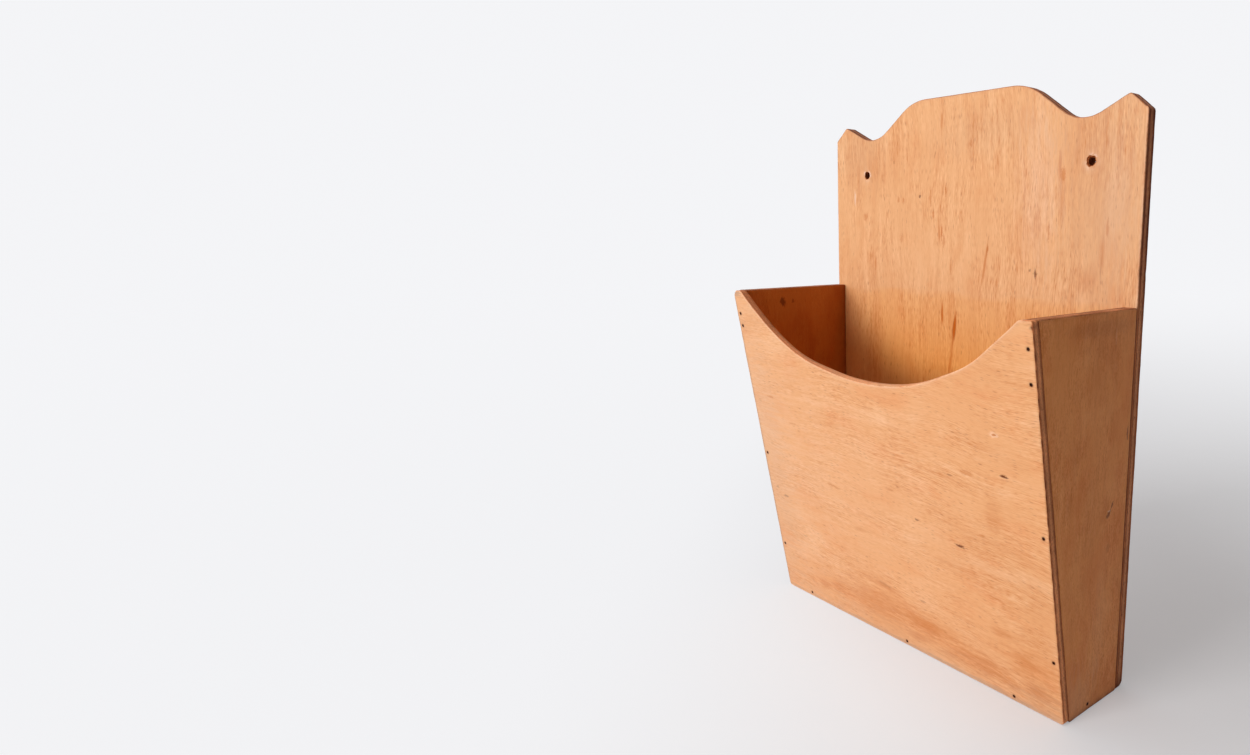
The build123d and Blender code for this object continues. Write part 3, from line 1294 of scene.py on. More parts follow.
    def bored(
        self, work: Patchwork, bore: Bore, block: tuple, grids: list, flats: list, depths: list
    ) -> None:
        """Closes the gap that a hole left in the grid.

        Rings of points run from the gap's rim in to a circle, round its lip by a quarter circle and
        down its wall. A blind hole ends in a floor, and a through hole runs out the same way at the
        other face.

        Args:
            work: The mesh.
            bore: The hole.
            block: Its first and last cells along and up the board.
            grids: The indices of the two faces' grids.
            flats: The (a, b) of their points.
            depths: How deep they are.
        """
        i0, i1, j0, j1 = block
        cut = (slice(i0, i1 + 1), slice(j0, j1 + 1))
        first = 1 if bore.rear else 0
        rim_index, rim_flat, rim_depth = (ring_of(part[first][cut]) for part in (grids, flats, depths))
        centre = np.array([bore.a, bore.b])
        angle = np.arctan2(rim_flat[:, 1] - bore.b, rim_flat[:, 0] - bore.a)
        ways = np.stack([np.cos(angle), np.sin(angle)], axis=1)
        inland = np.full(len(angle), self.draw_reach)

        def level(depth: float) -> float:
            """A depth counted from the face that the hole is in."""
            return self.thickness - depth if bore.rear else depth

        def ring(radius: float, depth: float) -> Array:
            """One ring of points round the hole's axis."""
            chips = bore.chipping * ripple(ways * 3.0, 2.6, self.seed) * np.exp(-abs(depth - level(0.0)))
            slid = np.array(bore.skew) * np.clip((radius - bore.radius) / bore.lip, 0, 1)
            flat = centre + slid + (radius + chips)[:, None] * ways
            return self.put(work, flat, np.full(len(flat), depth), inland)

        outer = bore.radius + bore.lip
        middle_flat = (rim_flat + centre + outer * ways) / 2
        halfway = self.put(work, middle_flat, (rim_depth + level(0.0)) / 2, inland)
        turns = [turn * pi / 2 for turn in (0.0, *self.bore_turns)]
        sinking = bore.lip if bore.lip_depth is None else bore.lip_depth
        curve = [(outer - bore.lip * np.sin(t), sinking * (1 - np.cos(t))) for t in turns]
        face_rings = [rim_index, halfway] + [ring(r, level(d)) for r, d in curve[:2]]
        wall_rings = face_rings[-1:] + [ring(r, level(d)) for r, d in curve[2:]]
        if bore.depth is not None:
            wall_rings += [ring(bore.radius * part, level(bore.depth)) for part in (1, 0.5)]
        else:
            far_index, far_flat = (ring_of(part[1][cut]) for part in (grids, flats))
            through = [ring(bore.radius, self.thickness * part) for part in (0.3, 0.5, 0.7)]
            far = bore.radius + bore.far_lip
            spread = [(far - bore.far_lip * np.sin(t), bore.far_lip * (1 - np.cos(t))) for t in turns]
            back = [ring(r, self.thickness - d) for r, d in spread[::-1]]
            far_middle = (far_flat + centre + far * ways) / 2
            half = self.put(work, far_middle, np.full(len(angle), self.thickness), inland)
            wall_rings += through + back[:-1]
            self.tube(work, [back[-2], back[-1], half, far_index], Layer.REAR, bore.rear)
        self.tube(work, face_rings, Layer.REAR if bore.rear else Layer.FACE, bore.rear)
        self.tube(work, wall_rings, Layer.SOCKET, bore.rear)
        if bore.depth is not None:
            pole = self.put(work, centre[None], np.array([level(bore.depth)]), inland[:1])
            work.cap(wall_rings[-1], int(pole[0]), Layer.SOCKET, flip=bore.rear)

    def tube(self, work: Patchwork, rings: list[Array], layer: Layer, flip: bool) -> None:
        """Skins a run of closed rings."""
        band = np.stack(rings, axis=1)
        work.skin(np.concatenate([band, band[:1]]), layer, flip=flip)


def box_mm(node: str) -> tuple[Vector, Vector]:
    """A CAD node's lowest and highest corners, in millimetres."""
    low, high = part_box(node)
    return low / MM, high / MM


@dataclass(frozen=True)
class Measures:
    """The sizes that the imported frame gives, in millimetres."""

    half_width: float
    wall_y: float
    back_front_y: float
    back_height: float
    pocket_height: float
    front_foot_y: float
    front_top_y: float
    front_level: float
    side_thickness: float
    bottom_thickness: float

    @classmethod
    def read(cls) -> "Measures":
        """Reads the nodes' boxes. The front is as thick along Y, on the level, as its top stands
        out past the side's."""
        back, side, front = (box_mm(node) for node in ("back_panel", "right_side", "front_panel"))
        level = side[0].y - front[0].y
        return cls(
            half_width=back[1].x,
            wall_y=back[1].y,
            back_front_y=back[0].y,
            back_height=back[1].z,
            pocket_height=front[1].z,
            front_foot_y=front[1].y - level,
            front_top_y=front[0].y,
            front_level=level,
            side_thickness=side[1].x - side[0].x,
            bottom_thickness=box_mm("bottom_panel")[1].z,
        )

    @property
    def lean(self) -> float:
        """How far the front leans out of upright, in radians."""
        return atan2(self.front_foot_y - self.front_top_y, self.pocket_height)

    @property
    def slope_height(self) -> float:
        """Height of the front, measured up its slope."""
        return self.pocket_height / cos(self.lean)

    @property
    def front_thickness(self) -> float:
        """Thickness of the front's sheet."""
        return self.front_level * cos(self.lean)

    @property
    def nail_x(self) -> float:
        """How far from the middle the nails into a side's edge are."""
        return self.half_width - self.side_thickness / 2

    def inner_front_y(self, height: Array) -> Array:
        """Y of the front's inner face at a height."""
        return self.front_foot_y + self.front_level - tan(self.lean) * height


@dataclass(frozen=True)
class NailPlan:
    """Where the nails are, in millimetres, with how far each kind is punched in."""

    sink: float = 0.4
    head_radius: float = 0.85
    head_thickness: float = 0.7
    shank_radius: float = 0.55
    point_length: float = 1.8
    front_length: float = 16.0
    long_length: float = 20.0
    clearance: float = 0.05
    left_foot_rise: float = 39.5
    left_middle_offset: float = -4.5
    left_top_drops: tuple[float, ...] = (26.4, 17.2)
    right_foot_rise: float = 42.8
    right_middle_offset: float = 0.4
    right_top_drops: tuple[float, ...] = (34.0, 14.9)
    foot_rise: float = 3.2
    foot_left_inset: float = 30.0
    foot_middle_offset: float = 3.0
    foot_right_inset: float = 37.0
    bottom_forward: float = 6.0
    back_foot_rise: float = 34.0
    back_top_drop: float = 24.0
    back_bottom_inset: float = 70.0

    def front_edge(self, size: Measures, hand: Hand) -> list[tuple[float, float]]:
        """Points (x, rise up the slope) down one edge of the front."""
        left = hand is Hand.LEFT
        foot = self.left_foot_rise if left else self.right_foot_rise
        middle = self.left_middle_offset if left else self.right_middle_offset
        drops = self.left_top_drops if left else self.right_top_drops
        rises = [foot, size.slope_height / 2 + middle, *(size.slope_height - drop for drop in drops)]
        return [(hand * size.nail_x, rise) for rise in rises]

    def front_foot(self, size: Measures) -> list[tuple[float, float]]:
        """Points (x, rise up the slope) along the front's foot."""
        left = -size.half_width + self.foot_left_inset
        right = size.half_width - self.foot_right_inset
        return [(x, self.foot_rise) for x in (left, self.foot_middle_offset, right)]

    def side_point(self, size: Measures) -> tuple[float, float]:
        """The (y, z) of the nail low in each side."""
        z = size.bottom_thickness / 2
        middle = (size.back_front_y + float(size.inner_front_y(z))) / 2
        return middle - self.bottom_forward, z

    def back_edge(self, size: Measures, hand: Hand) -> list[tuple[float, float]]:
        """Points (x, z) down one edge of the back."""
        top = size.pocket_height - self.back_top_drop
        return [(hand * size.nail_x, z) for z in (self.back_foot_rise, (self.back_foot_rise + top) / 2, top)]

    def back_foot(self, size: Measures) -> list[tuple[float, float]]:
        """Points (x, z) along the back's foot."""
        x = size.half_width - self.back_bottom_inset
        return [(-x, size.bottom_thickness / 2), (x, size.bottom_thickness / 2)]

    def socket(self, a: float, b: float, rear: bool = False) -> Bore:
        """The hole over a nail's head."""
        return Bore(a, b, self.head_radius + self.clearance, self.sink + self.head_thickness, rear)


NAILS = NailPlan()

EDGE_PLIES = (
    Ply(2.5, (0.48, 0.155, 0.055)),
    Ply(5.7, (0.64, 0.255, 0.120)),
    Ply(8.0, (0.46, 0.145, 0.050)),
)
FRONT_PLIES = (
    Ply(1.2, (0.70, 0.255, 0.105)),
    Ply(3.7, (0.84, 0.330, 0.145)),
    Ply(5.0, (0.72, 0.260, 0.100)),
)


BACK_MARKS = marks_of(
    Tone.DARK,
    (273.5, 21, 6, 1.2, 0.30, 0.10),
    (259, 61.2, 5.5, 1.7, 0.65),
    (259.5, 61.4, 1.6, 3.2, 0.40),
    (261.5, 57, 1.6, 1.4, 0.50),
    (217.5, -8.1, 15, 2.6, 0.95, 0.10),
    (310, -42.9, 2.2, 1.9, 0.75),
    (335, -69.7, 2.4, 1.5, 0.30),
    (265, 109.5, 14, 0.9, 0.28),
) + marks_of(
    Tone.RUDDY,
    (263, 19, 27, 1.8, 0.75, 0.17),
    (273.5, 21, 7, 1.6, 0.60, 0.10),
    (218, -8.1, 23, 2.6, 0.95, 0.10),
    (196, -11, 32, 2, 0.50, 0.13),
    (228, -19.8, 13, 1.8, 0.95),
    (358.6, -22.1, 15, 2, 0.90),
    (284, -23.6, 13, 1.7, 0.85),
    (285, -21.2, 10, 1.5, 0.75),
    (279, -19, 9, 2.2, 0.60),
    (313.8, -17.6, 7, 1.3, 0.65),
    (297, -29.3, 6, 1.6, 0.60),
    (308.7, -32.3, 11, 1.6, 0.45),
    (260.7, -12, 10, 1.6, 0.50),
    (324.8, 77.3, 15, 2.6, 0.50),
    (319.7, 79.9, 8, 3.6, 0.55),
    (306, 80, 26, 5, 0.30),
    (272.5, 110, 20, 2.2, 0.45),
    (287.7, 112.7, 11, 1.5, 0.50),
    (257, 99, 17, 13, 0.34),
    (286, 70.6, 12, 1.3, 0.50),
    (299.5, 51, 30, 1, 0.35),
    (344, 4.8, 5, 1.6, 0.55),
    (330.7, 28.4, 9, 1, 0.40),
    (296, -101.5, 6, 4, 0.45),
    (308, -65, 4, 1.6, 0.50),
    (307.5, -60, 4.5, 1.8, 0.50),
    (280, -61.8, 7, 3, 0.40),
    (260.7, -90.5, 9, 1.8, 0.50),
    (265.7, -96.4, 9, 1.5, 0.45),
    (324.8, -82.9, 6, 1.4, 0.40),
    (337.4, -56, 7, 1.4, 0.40),
    (333, -78, 30, 34, 0.16),
    (330, 108, 70, 40, 0.12),
    (332, 90, 50, 26, 0.16),
    (330, -106, 50, 34, 0.12),
    (342, -50, 24, 40, 0.12),
) + marks_of(
    Tone.FAIR,
    (266, -46, 40, 120, 0.24),
    (262, 118, 24, 24, 0.10),
) + marks_of(
    Tone.DUSTY,
    (305, 112, 150, 60, 0.20),
    (344, -108, 50, 50, 0.16),
    (350, 20, 30, 90, 0.12),
) + marks_of(
    Tone.PALE,
    (310.4, -114, 10, 1.8, 0.55),
    (300, 118, 60, 18, 0.10),
    (312, 62, 84, 28, 0.18),
)


@dataclass
class BackBoard(Board):
    """The back: taller than the pocket, with two pointed ears and a broad crown."""

    seed: int = 3
    shoulder_drop: float = 22.3
    tip_inset: float = 11.7
    tip_drop: float = 12.7
    tip_radius: float = 1.2
    valley_inset: float = 43.8
    valley_drop: float = 27.7
    valley_radius: float = 27.0
    crown_inset: float = 84.0
    crown_radius: float = 39.0
    foot_radius: float = 4.0
    hole_diameter: float = 4.8
    hole_mouth: float = 0.8
    hole_inset: float = 35.4
    hole_drop: float = 49.2
    level_height: float = 338.0
    core_depth: float = 4.1
    patch_length: float = 26.0
    seam_dirt: Trace = Trace(0.6, 0.7)
    crown_dirt: Trace = Trace(0.32, 0.45)
    rear_dirt: Trace = Trace(0.75, 0.9)
    foot_darkening: Trace = Trace(0.8, 7.0)
    arris: Arris = Arris(
        front=0.5,
        rear=0.45,
        nicks=(Nick(135, 262, 1.6, 0.5), Nick(-134, 351, 2.0, 0.4), Nick(123, 363, 2.2, 0.3)),
    )

    node = "back_panel"
    slot = "back_plywood"

    @property
    def placement(self) -> Placement:
        """Its outer face is the one towards the room."""
        return Placement((0, self.measures.back_front_y, 0), (1, 0, 0), (0, 0, 1), (0, -1, 0))

    @property
    def thickness(self) -> float:
        """From the frame."""
        return self.measures.wall_y - self.measures.back_front_y

    @property
    def spans(self) -> tuple[float, float, float, float]:
        """Across the whole width, and up to the shoulders."""
        half = self.measures.half_width
        return -half, half, 0.0, self.measures.back_height - self.shoulder_drop

    @property
    def bores(self) -> tuple[Bore, ...]:
        """Two screw holes right through, and nails in the rear face."""
        size = self.measures
        x, z = size.half_width - self.hole_inset, size.back_height - self.hole_drop
        radius, mouth = self.hole_diameter / 2, self.hole_mouth
        unstained = Trace(0.0, 1.0)
        holes = [
            Bore(-x, z, radius, lip=mouth, margin=1.2, chipping=0.18, stain=unstained, bared=0.9),
            Bore(
                x, z, radius, lip=mouth * 2, lip_depth=0.5, skew=(-0.5, 0.2), margin=1.4,
                chipping=0.45, stain=unstained, bared=0.8,
            ),
        ]
        edges = [point for hand in Hand for point in NAILS.back_edge(size, hand)]
        return (*holes, *(NAILS.socket(*point, rear=True) for point in edges + NAILS.back_foot(size)))

    def top(self, x: Array) -> Array:
        """Height of the top at x: shoulders, pointed ears, round valleys and the crown."""
        half, height = self.measures.half_width, self.measures.back_height
        right = [
            (half - self.crown_inset, height, self.crown_radius),
            (half - self.valley_inset, height - self.valley_drop, self.valley_radius),
            (half - self.tip_inset, height - self.tip_drop, self.tip_radius),
            (half, height - self.shoulder_drop, 0.0),
        ]
        left = [(-x_at, z_at, radius) for x_at, z_at, radius in reversed(right)]
        return broken_line(x, left + right)

    def lay(self, u: Array, v: Array, depth: float) -> Array:
        """Square up to level_height, and above it stretched up to the top. The foot rises over the
        rear arris, whose radius is foot_radius."""
        last = self.spans[3]
        past = max(0.0, depth - (self.thickness - self.foot_radius))
        foot = self.foot_radius - (self.foot_radius**2 - past**2) ** 0.5 if past > 0 else 0.0
        share = np.clip((v - self.level_height) / (last - self.level_height), 0, 1)
        z = v + share * (self.top(u) - last) + foot * np.clip(1 - v / self.draw_reach, 0, 1)
        return np.stack([u, z], axis=-1)

    def landmarks(self) -> tuple[list[Array], list[Array]]:
        """Closer stations at the ears' tips and through the round corners."""
        tip = self.measures.half_width - self.tip_inset
        fan = np.array([-3.0, -1.4, -0.7, -0.3, 0.0, 0.3, 0.7, 1.4, 3.0])
        curves = [np.arange(40, 110, 2.0) * hand for hand in Hand]
        return [tip + fan, -tip + fan, *curves], [np.array([self.level_height])]

    def wear(self, a: Array, b: Array, depth: Array, rim: Array) -> tuple[Array, Array]:
        """Rubbed arrises, and grime on the top edge, on the outer plies above the pocket, in the
        right hand corner of the foot and where the sides meet the face."""
        size = self.measures
        edge = rim == 0
        to_arris = np.maximum(rim, depth)
        seam = np.abs(np.abs(a) - size.half_width) < size.side_thickness
        covered = (b < size.pocket_height - 1) & (depth < 1) & seam
        crown = (b > self.level_height - 1) & (np.abs(a) < size.half_width - 1)
        patch = patches(a, b, self.patch_length, 41)
        rubbed = (0.40 + 0.45 * patch) * np.exp(-to_arris / 0.50)
        rubbed = rubbed * np.where(covered, 0.2, 1) * np.where(crown, 0.4, 1)

        outer_plies = np.clip(np.abs(depth - self.core_depth) - 1.2, 0, 1)
        above_pocket = np.clip((b - size.pocket_height) / 20, 0, 1)
        past_arris = np.clip(depth / 0.8 - 0.35, 0, 1)
        grime_and_shade = strongest(
            covered * self.seam_dirt.at(rim),
            edge * above_pocket * past_arris * (0.25 + 0.62 * outer_plies) * (0.8 + 0.3 * patch),
            edge * past_arris * 0.35 * (b > self.level_height),
            crown * self.crown_dirt.at(to_arris),
            edge * self.rear_dirt.at(self.thickness - depth),
            (rim < 0.4) * self.foot_darkening.around(np.hypot(np.abs(a - size.half_width), b)),
        )
        return rubbed * (1 - 0.8 * np.clip(grime_and_shade, 0, 1)), grime_and_shade

    def pocket_shade(self, a: Array, b: Array) -> Array:
        """Painted shade inside the pocket: the colour turns deeper from a soft line near the pocket's top on
        down.
        """
        shade_line = self.measures.pocket_height + 1.5 * ripple(a[..., None], 70.0, 43)
        return 0.30 * np.clip((shade_line - b) / 3, 0, 1) + 0.70 * np.clip((shade_line - b) / 55, 0, 1)

    def finishes(self) -> tuple[Finish, ...]:
        """Face, rear, cut edge and holes."""
        face = Veneer(
            "back_veneer", BACK_STROKES, golden=(0.768, 0.404, 0.196), ruddy=(0.735, 0.350, 0.156),
            pale=(0.90, 0.545, 0.300), deep=(0.53, 0.132, 0.014), ruddy_share=0.42, slant=0.02,
            pores=0.6, seed=40.0, marks=BACK_MARKS,
        )
        rear = Veneer(
            "back_rear_veneer", BACK_STROKES, golden=(0.62, 0.33, 0.155), ruddy=(0.50, 0.22, 0.09),
            pale=(0.70, 0.44, 0.25), pocket_shade_tint=(0.98, 0.94, 0.88), gloss=0.55, slant=0.015, seed=260.0,
        )
        edge = CutEdge("back_edge", EDGE_PLIES, seed=10.0)
        stain = SocketStain("back_holes", dark=(0.15, 0.028, 0.006), light=(0.40, 0.130, 0.045))
        return face, rear, edge, stain


RIGHT_SIDE_MARKS = marks_of(
    Tone.DARK,
    (127.2, 30.2, 4, 1.6, 0.75, 0.3),
    (121.8, 26.4, 3.4, 3.6, 0.70, 0.5),
    (124.4, 28.6, 5, 1.2, 0.55, 0.7),
    (101, 28, 5, 4, 0.16),
    (169, 43, 8, 1.6, 0.60),
    (234, 12, 9, 60, 0.16),
) + marks_of(
    Tone.RUDDY,
    (205, 8, 26, 20, 0.25),
    (120, 8, 60, 16, 0.20),
    (232, 14, 26, 70, 0.20),
    (142, 20, 26, 1.6, 0.26, 0.12),
    (134, 36, 20, 1.4, 0.22, -0.15),
) + marks_of(
    Tone.PALE,
    (228, 25, 9, 1.2, 0.12),
    (124.2, 27, 0.9, 3, 0.45),
    (60, 22, 70, 12, 0.05),
    (14, -4, 40, 40, 0.05),
) + marks_of(
    Tone.DUSTY,
    (12, -4, 34, 40, 0.14),
) + marks_of(
    Tone.FAIR,
    (80, 14, 120, 50, 0.10),
)
LEFT_SIDE_MARKS = marks_of(
    Tone.DARK,
    (183.6, -2.2, 3, 1.5, 0.60),
    (48, -14.8, 3, 1.4, 0.60),
    (240, 25.1, 4, 0.9, 0.75),
)


@dataclass
class SideBoard(Board):
    """A side: upright at the back, with its front edge cut to the front's lean."""

    hand: Hand = Hand.RIGHT
    step: float = 2.4
    patch_length: float = 21.0
    arris_rub: Trace = Trace(0.35, 0.3)
    seam_dirt: Trace = Trace(0.50, 0.20)
    top_dirt: Trace = Trace(0.45, 0.5)
    # Painted contact shade along the lower rim, where the side stands on the floor
    foot_darkening: Trace = Trace(0.90, 1.5)
    left_top_dirt: Trace = Trace(0.85, 0.8)
    # Painted shade in the pocket's corners: the inner face darker near the seams and the bottom
    pocket_corner_shade: Trace = Trace(0.50, 5.0)

    @property
    def node(self) -> str:
        """Named for its hand."""
        return f"{self.hand.name.lower()}_side"

    slot = "side_plywood"

    @property
    def placement(self) -> Placement:
        """Its outer face looks away from the pocket. Its own a runs back on the right side and
        forward on the left."""
        origin = (self.hand * self.measures.half_width, 0, 0)
        return Placement(origin, (0, self.hand, 0), (0, 0, 1), (self.hand, 0, 0))

    @property
    def thickness(self) -> float:
        """From the frame."""
        return self.measures.side_thickness

    @property
    def spans(self) -> tuple[float, float, float, float]:
        """As long as the foot is, from the front's inner face to the back, and the pocket's height."""
        foot = self.measures.back_front_y - float(self.measures.inner_front_y(0.0))
        return 0.0, foot, 0.0, self.measures.pocket_height

    @property
    def bores(self) -> tuple[Bore, ...]:
        """The nail into the bottom."""
        y, z = NAILS.side_point(self.measures)
        return (NAILS.socket(self.hand * y, z),)

    def lay(self, u: Array, v: Array, depth: float) -> Array:
        """Stations fan out: y goes from the front's inner face at that height to the back, in
        proportion to u."""
        share = u / self.spans[1]
        share = share if self.hand is Hand.RIGHT else 1 - share
        front = self.measures.inner_front_y(v)
        y = front + share * (self.measures.back_front_y - front)
        return np.stack([self.hand * y, v], axis=-1)

    def seek(self, a: float, b: float) -> tuple[float, float]:
        """The fan, the other way."""
        front = float(self.measures.inner_front_y(b))
        share = (self.hand * a - front) / (self.measures.back_front_y - front)
        share = share if self.hand is Hand.RIGHT else 1 - share
        return share * self.spans[1], b

    def wear(self, a: Array, b: Array, depth: Array, rim: Array) -> tuple[Array, Array]:
        """Pale rubbed top edge, grime in the seams with the front and the back and on the left side's
        top edge, painted contact shade on the lower rim and painted shade in the pocket's corners."""
        size = self.measures
        y = self.hand * a
        below_top = size.pocket_height - b
        to_seam = np.minimum(y - size.inner_front_y(b), size.back_front_y - y)
        to_arris = np.maximum(rim, np.minimum(depth, self.thickness - depth))
        patch = patches(a, b, self.patch_length, 52, 0.55, 0.45)
        near_top = np.exp(-np.maximum(below_top, 0) / 0.7)
        rubbed = patch * near_top * np.maximum(0.10, self.arris_rub.at(to_arris))

        left = self.hand is Hand.LEFT
        grime_and_shade = strongest(
            patches(y, b, 5.0, 57, 0.75, 0.25) * self.seam_dirt.at(to_seam),
            (1 - patch) * self.top_dirt.at(np.abs(below_top)),
            # Painted contact shade along the lower rim
            self.foot_darkening.at(np.maximum(b, 0)),
            left * self.left_top_dirt.at(np.maximum(below_top, depth / 3)),
            # Painted shade in the pocket's corners
            self.towards_rear(depth)
            * self.pocket_corner_shade.at(np.minimum(to_seam, np.maximum(b - size.bottom_thickness, 0))),
        )
        return rubbed, grime_and_shade

    def finishes(self) -> tuple[Finish, ...]:
        """Face, inner face, cut edge and the nail's socket."""
        knots = marks_of(
            Tone.DARK,
            (232.6, self.hand * -15.7, 6.0, 4.5, 0.75, 0.2),
            (233.0, self.hand * -6.4, 3.0, 2.2, 0.55),
            (196.0, self.hand * -10.0, 6.0, 1.2, 0.40),
        )
        tag = self.hand.name.lower()
        marks = RIGHT_SIDE_MARKS if self.hand is Hand.RIGHT else LEFT_SIDE_MARKS
        # Painted shade: the sides' veneer is a redder, deeper copy of the front's, to give the shaded look of
        # the right side.
        face = Veneer(
            f"{tag}_side_veneer", SIDE_STROKES, golden=(0.805, 0.295, 0.080), ruddy=(0.735, 0.232, 0.058),
            pale=(0.93, 0.41, 0.160), deep=(0.48, 0.110, 0.010), ruddy_share=0.5, pores=0.30, slant=0.01,
            seed=500.0 + 90 * self.hand, marks=marks,
        )
        # Painted shade: the inner face is a darker, redder copy of the face, for the shade inside the pocket.
        inner = Veneer(
            f"{tag}_side_inner_veneer", SIDE_STROKES, golden=(0.51, 0.136, 0.018), ruddy=(0.44, 0.098, 0.011),
            pale=(0.60, 0.19, 0.035), ruddy_share=0.5, slant=0.01, seed=800.0 + 90 * self.hand, marks=knots,
        )
        edge = CutEdge(f"{tag}_side_edge", EDGE_PLIES, seed=30.0 + self.hand)
        stain = SocketStain(f"{tag}_side_socket")
        return face, inner, edge, stain


FRONT_MARKS = marks_of(
    Tone.DARK,
    (106.7, 155.4, 5.2, 1.5, 0.95),
    (66.4, 99, 6.5, 1.8, 0.95),
    (30, 106.8, 3.4, 1.5, 0.60),
    (64.5, 146.3, 3.6, 1.2, 0.40),
    (-116.4, 85.5, 5.5, 1.8, 0.50),
    (-126, 91, 3.2, 1.8, 0.38),
    (-12, 43.5, 11, 2.4, 0.22, -0.12),
    (25.4, 44, 5, 1.6, 0.30),
    (-100, 55.4, 5, 1.5, 0.22),
) + marks_of(
    Tone.RUDDY,
    (-4.5, 24, 190, 34, 0.22),
    (-27, 26, 66, 22, 0.34, 0.06),
    (26, 25.5, 46, 9, 0.46),
    (71, 16, 50, 14, 0.48),
    (18, 13, 24, 7, 0.40),
    (93, 47, 15, 6.5, 0.36),
    (110, 33, 18, 15, 0.36),
    (119, 16, 18, 8, 0.40),
    (-12, 42.5, 26, 5.5, 0.34, -0.12),
    (-85, 18, 12, 7, 0.30),
    (-68, 22, 13, 6, 0.26),
    (96, 126, 13, 20, 0.30),
    (80, 90, 60, 40, 0.10),
    (78.3, 151.2, 9, 3.2, 0.40),
    (-113, 167.7, 8, 1.6, 0.60),
    (-89.5, 150.5, 9, 1.4, 0.40),
    (-21.5, 95.5, 22, 2.4, 0.34),
    (-30, 82, 14, 2.4, 0.36),
    (-55.5, 110, 9, 1.7, 0.44),
    (-49, 109, 6, 1.5, 0.44),
    (7.8, 122.3, 7, 1.5, 0.40),
    (-2.6, 177.7, 9, 1.6, 0.36),
    (85.7, 112, 4, 1.4, 0.50),
    (115, 20, 60, 60, 0.18),
    (124, 65, 30, 80, 0.14),
) + marks_of(
    Tone.PALE,
    # Painted sheen: all but the small nick are broad pale marks that paint the front's left paler and pinker,
    # as a reflection in its varnish would.
    (-150, 125, 150, 330, 0.19),
    (-28, 112, 170, 150, 0.08),
    (102.3, 179.6, 6, 3.2, 0.55),
    (-122, 150, 26, 60, 0.12),
) + marks_of(
    Tone.RUDDY,
    (102.3, 179.6, 2.8, 1.3, 0.80),
) + marks_of(
    Tone.DUSTY,
    (-124, 110, 34, 190, 0.14),
    (-134.8, 125, 3.6, 300, 0.40),
    (-131, 246, 9, 7, 0.60),
    (10, 4, 280, 22, 0.16),
    # Painted contact shade: this mark and the next paint a grey line along the foot, where the front meets
    # the floor.
    (0.0, 0.0, 320, 5, 0.55),
    (90, 0.0, 140, 6, 0.50),
    (122, 6, 40, 30, 0.16),
)


